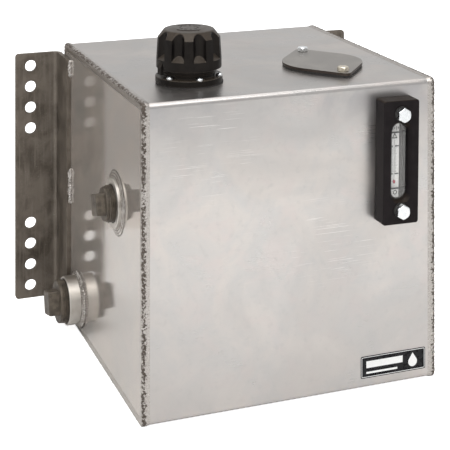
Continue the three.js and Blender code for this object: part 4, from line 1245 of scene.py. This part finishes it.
def signs(z):
    """A triangle near the top, a ring near the bottom and four level bars above the triangle."""
    triangle = GAUGE @ move_by((SCALE_LEFT + SCALE_RIGHT) / 2, 31.5 * MM)
    marks = [bar("triangle", -3.8 * MM, 3.8 * MM, -1.9 * MM, 1.4 * MM, z, triangle @ turn_by(k * FULL / 3))
             for k in range(3)]
    ring = [(1.8 * MM, z), (3.0 * MM, z), (3.0 * MM, z + 0.1 * MM), (1.8 * MM, z + 0.1 * MM)]
    marks.append(turned("ring", ring, GAUGE @ move_by(-2.7 * MM, -42.5 * MM), steps=32))
    for k in range(4):
        x = SCALE_LEFT + (3.4 + 2.6 * k) * MM
        marks.append(bar("level", x, x + 1.1 * MM, 42.6 * MM, (4.6 - 1.2 * (k % 2)) * MM, z, GAUGE))
    return marks


def gauge_print():
    """What is printed on the scale, and the two level lines right across the window."""
    z = SCALE_FACE + 0.02 * MM
    dress(join("gauge_scale_print", tube_marks(z) + signs(z)), PRINT_BLACK)
    half = WINDOW_HALF - 0.5 * MM
    lines = [bar("line", -half, half, y, 2.2 * MM, LENS_FACE - 1.5 * MM, GAUGE)
             for y in (37.6 * MM, -36.4 * MM)]
    dress(join("gauge_level_lines", lines), PRINT_BLACK)


def gauge_lens():
    """The clear window, whose edge is rounded over."""
    gap, base = 0.3 * MM, LENS_FACE - 1.3 * MM
    rows = [level(window_outline(WINDOW_HALF - gap), base - 0.3 * MM)]
    for inset, rise in in_mm([(0.0, 0.0), (0.35, 0.5), (1.0, 0.95), (2.2, 1.3)]):
        rows.append(level(window_outline(WINDOW_HALF - gap - inset), base + rise))
    lens = skin("gauge_lens_window", rows, GAUGE)
    dress(lens, CLEAR, "gauge_lens")


def thermometer():
    """A glass tube that stands on a drop-shaped bulb."""
    centre = gauge_local("thermometer_tube")
    half = size("thermometer_tube").z / 2
    base, top = centre.y - half, centre.y + half
    place = GAUGE @ Matrix.Translation((TUBE_X, 0, centre.z)) @ Matrix.Rotation(-FULL / 4, 4, "X")
    glass, foot, tip = 0.9 * MM, 0.5 * MM, 0.4 * MM
    tube = turned("thermometer_glass", [(0, base), (foot, base), (glass, base + 0.4 * MM),
                                        (glass, top - 0.6 * MM), (tip, top), (0, top)], place, steps=24)
    dress(tube, CLEAR, "thermometer_tube")
    radius, height, centre_z = 1.9 * MM, 2.4 * MM, base - 2 * MM
    side = [(radius * math.sin(a), centre_z - height * math.cos(a)) for a in np.linspace(0, FULL / 2, 14)]
    bulb = turned("thermometer_bulb_drop", [(0, centre_z - height), *side[1:-1], (0, centre_z + height)],
                  place, steps=24)
    dress(bulb, BULB, "thermometer_bulb")


def gauge_bolts():
    """A black washer and a hex bolt at each end of the gauge."""
    inner, outer = 6.6 * MM, 10.4 * MM
    flats, shank = 17.3 * MM, (6 * MM, -14 * MM)
    for name, side in (("top", 1), ("bottom", -1)):
        place = GAUGE @ move_by(0, side * BOLT_REACH)
        washer, bolt = f"gauge_washer_{name}", f"gauge_bolt_{name}"
        low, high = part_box(washer)
        z0, z1 = FRONT - high.y, FRONT - low.y
        profile = rounded([(inner, z0), (outer, z0), (outer, z1), (inner, z1)], 0.25 * MM, steps=3)
        ring = turned(washer + "_ring", profile, place, steps=64)
        dress(ring, RUBBER, washer)
        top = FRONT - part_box(bolt)[0].y
        hex_head(bolt + "_hex", bolt, place @ turn_by(FULL / 4), flats, z1 + 0.1 * MM, top, shank, ZINC)


gauge_housing()
gauge_scale()
gauge_print()
gauge_lens()
thermometer()
gauge_bolts()


# ---------------------------------------------------------------- mounting angles
HEEL = -LEFT  # how far the angles' heels are from the middle plane
PLATE, INSIDE_BEND, EDGE_ROUND = 6.35 * MM, 6.0 * MM, 5 * MM
HOLE_FROM_HEEL, HOLE_RADIUS = 46.8 * MM, 8.75 * MM
FIRST_HOLE, HOLE_PITCH, HOLES_EACH_END = 19.05 * MM, 31.75 * MM, 4


def angle_outline(far, toe_y, heel_y):
    """The right-hand angle seen from above: along its outside to its free edge and back inside."""
    outside = INSIDE_BEND + PLATE
    bend = (HEEL + outside, heel_y - outside)
    return [(HEEL, toe_y), *arc_points(*bend, outside, FULL / 2, FULL / 4, 12), (far, heel_y),
            (far, heel_y - PLATE), *arc_points(*bend, INSIDE_BEND, FULL / 4, FULL / 2, 12),
            (HEEL + PLATE, toe_y)]


def corner_outline(far, z, up):
    """What is cut off a free corner at height z. up is 1 at the angle's foot and -1 at its head."""
    inner, over = far - EDGE_ROUND, 1 * MM
    curve = arc_points(inner, z + up * EDGE_ROUND, EDGE_ROUND, -up * FULL / 4, 0, 6)
    return [(far + over, z - up * over), (inner, z - up * over), *curve, (far + over, z + up * EDGE_ROUND)]


def mounting_angle(name, side):
    """Formed plate with a true inside bend, soft sheared edges and eight punched holes."""
    node = f"bracket_{name}"
    low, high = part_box(node)
    far = HEEL + size(node).x
    outline = [(side * x, y) for x, y in angle_outline(far, low.y, high.y)]
    angle = prism(node + "_plate", outline, low.z, high.z)
    wall = facing((0, high.y + 10 * MM, 0), (0, -1, 0), (0, 0, 1))
    through = 40 * MM
    cutters = []
    for k in range(HOLES_EACH_END):
        for z in (low.z + FIRST_HOLE + k * HOLE_PITCH, high.z - FIRST_HOLE - k * HOLE_PITCH):
            hole = circle(side * (HEEL + HOLE_FROM_HEEL), z, HOLE_RADIUS, 48)
            cutters.append(prism("hole", hole, 0, through, wall))
    for z, up in ((low.z, 1), (high.z, -1)):
        corner = [(side * x, y) for x, y in corner_outline(far, z, up)]
        cutters.append(prism("corner", corner, 0, through, wall))
    carve(angle, cutters)
    dress(soften(angle, 0.45 * MM, 2), MILL, node)


mounting_angle("left", -1)
mounting_angle("right", 1)


# ---------------------------------------------------------------- blank label
def label_border(width, height, z, ink, place):
    """A thin frame a little inside the label's edge."""
    edge, line = 1.1 * MM, 0.7 * MM
    outer = rounded(box_outline(width - 2 * edge, height - 2 * edge), 1.5 * MM)
    inner = rounded(box_outline(width - 2 * edge - 2 * line, height - 2 * edge - 2 * line), 1.0 * MM)
    border = prism("border", outer, z, z + ink, place)
    return carve(border, [prism("inside", inner, z - 1 * MM, z + 1 * MM, place)])


def label():
    """Black film with a thin white border, two plain bars and a drop."""
    width, _, height = size("label")
    place = on_front("label")
    sheet = rounded(box_outline(width, height), 2 * MM, steps=5)
    film = prism("label_sheet", sheet, 0.02 * MM, 0.25 * MM, place)
    dress(film, LABEL_FILM, "label")
    z, ink = 0.26 * MM, 0.04 * MM
    marks = [label_border(width, height, z, ink, place)]
    for x0, x1, y, thick in in_mm([(-40, 14, 3.2, 9.0), (-40, 6, -7.6, 2.6)]):
        marks.append(bar("bar", x0, x1, y, thick, z, place, ink))
    drop_x, drop_y, tip_y, radius = 29 * MM, -2.5 * MM, 9.5 * MM, 6.6 * MM
    belly = arc_points(drop_x, drop_y, radius, math.radians(150), math.radians(390), 24)
    marks.append(prism("drop", [(drop_x, tip_y), *belly], z, z + ink, place))
    dress(join("label_print", marks), PRINT_WHITE)


label()


# ---------------------------------------------------------------- finishes of the CAD nodes that stay
for kept_look, kept_nodes in (
    (END_SHEET, ("end_plate_left", "end_plate_right", "baffle_plate")),
    (RUBBER, ("filler_gasket", "cap_seal", "gauge_seal_top", "gauge_seal_bottom")),
    (SEALANT, ("upper_thread_sealant", "lower_thread_sealant")),
    (PRESSED, ("strainer_basket", "bayonet_plate")),
    (ZINC, ("cover_nut_front", "cover_nut_rear", "gauge_nut_top", "gauge_nut_bottom")),
    (FOAM, ("breather_element",)),
):
    for kept_node in kept_nodes:
        paint(frame["nodes"][kept_node], kept_look)


# ---------------------------------------------------------------- stage, light and camera
def floor():
    """A white sweep. What the camera sees of it is lifted to plain white."""
    f = Finish("pale floor")
    f.set(Base_Color=f.mix(f.noise(0.4, detail=2.0), (0.90, 0.90, 0.90), (0.93, 0.93, 0.93)), Roughness=0.9)
    seen = f.node("LightPath").outputs["Is Camera Ray"]
    f.set(Emission_Color=(1.0, 1.0, 1.0), Emission_Strength=f.math("MULTIPLY", seen, 0.80))
    plane = prism("studio_floor", box_outline(12, 12), -0.02, -0.0005)
    plane.data.materials.append(f.material)


def flag():
    """A grey board behind the tank on the left, paler towards the floor. The camera doesn't see it:
    it only darkens what the upper half of the end plate mirrors."""
    f = Finish("grey board", Roughness=1.0, Specular_IOR_Level=0.0)
    f.set(Base_Color=f.mix(f.span(f.along(2), 0.0, 0.13), (0.78, 0.75, 0.72), (0.38, 0.36, 0.34)))
    place = facing((-0.50, 0.48, 0.30), (0.35, -0.937, 0), (0, 0, 1))
    board = prism("studio_flag", box_outline(0.80, 0.60), 0, 0.01, place)
    board.data.materials.append(f.material)
    board.visible_camera = False
    board.visible_shadow = False


def world():
    """A white studio, darker behind the object, that the camera sees as plain white."""
    world = bpy.data.worlds.new("studio")
    bpy.context.scene.world = world
    world.use_nodes = True
    nodes, links = world.node_tree.nodes, world.node_tree.links
    background, seen = nodes["Background"], nodes.new("ShaderNodeBackground")
    for white in (background, seen):
        white.inputs["Color"].default_value = (1.0, 1.0, 1.0, 1.0)
    direction = nodes.new("ShaderNodeTexCoord").outputs["Generated"]
    part = nodes.new("ShaderNodeSeparateXYZ")
    links.new(direction, part.inputs[0])
    fade = nodes.new("ShaderNodeMapRange")
    fade.interpolation_type = "SMOOTHSTEP"
    links.new(part.outputs["Y"], fade.inputs["Value"])
    for key, number in zip(("From Min", "From Max", "To Min", "To Max"), (0.1, 0.9, 0.70, 0.74)):
        fade.inputs[key].default_value = number
    links.new(fade.outputs["Result"], background.inputs["Strength"])
    ray = nodes.new("ShaderNodeLightPath")
    choose = nodes.new("ShaderNodeMixShader")
    links.new(ray.outputs["Is Camera Ray"], choose.inputs[0])
    links.new(background.outputs[0], choose.inputs[1])
    links.new(seen.outputs[0], choose.inputs[2])
    links.new(choose.outputs[0], nodes["World Output"].inputs["Surface"])


def soft_box(name, place, target, width, height, power):
    light = bpy.data.lights.new(name, "AREA")
    light.shape = "RECTANGLE"
    light.size, light.size_y = width, height
    light.energy = power
    obj = in_scene(name, light)
    obj.location = place
    obj.rotation_euler = (Vector(target) - Vector(place)).to_track_quat("-Z", "Y").to_euler()


def camera():
    """A camera that looks level but is shifted down, so that upright edges stay parallel. The shift
    is a shear of the view, carried by the parent inverse."""
    data = bpy.data.cameras.new("camera")
    drop = 0.33766  # how far the view is shifted down, per unit of distance
    lean = math.hypot(1, drop)
    data.sensor_width = 36.0
    data.lens = 109.0 * lean
    data.clip_start, data.clip_end = 0.05, 50
    holder = in_scene("camera_holder", None)
    cam = in_scene("camera", data)
    heading = math.radians(20.5084)
    right = Vector((math.cos(heading), -math.sin(heading), 0))
    ahead = Vector((math.sin(heading), math.cos(heading), 0))
    back = (-ahead + Vector((0, 0, drop))) / lean
    spot = Vector((-0.70458, -1.82792, 0.82677))
    shear = Matrix.Identity(4)
    for row in range(3):
        shear[row][0] = right[row]
        shear[row][1] = (0, 0, 1)[row]
        shear[row][2] = back[row]
        shear[row][3] = spot[row]
    cam.parent = holder
    cam.matrix_parent_inverse = shear
    bpy.context.scene.camera = cam


floor()
flag()
world()
soft_box("key_light", (-1.2, -2.2, 2.4), (0, 0, 0.2), 2.2, 1.8, 24)
soft_box("top_light", (0.3, 0.4, 2.8), (0, 0, 0.3), 2.0, 2.0, 16)
soft_box("front_top_light", (-0.4, -0.9, 2.5), (0, 0, 0.3), 2.6, 0.9, 32)
camera()
bpy.context.scene.view_settings.view_transform = "Standard"
bpy.context.scene.cycles.use_denoising = True
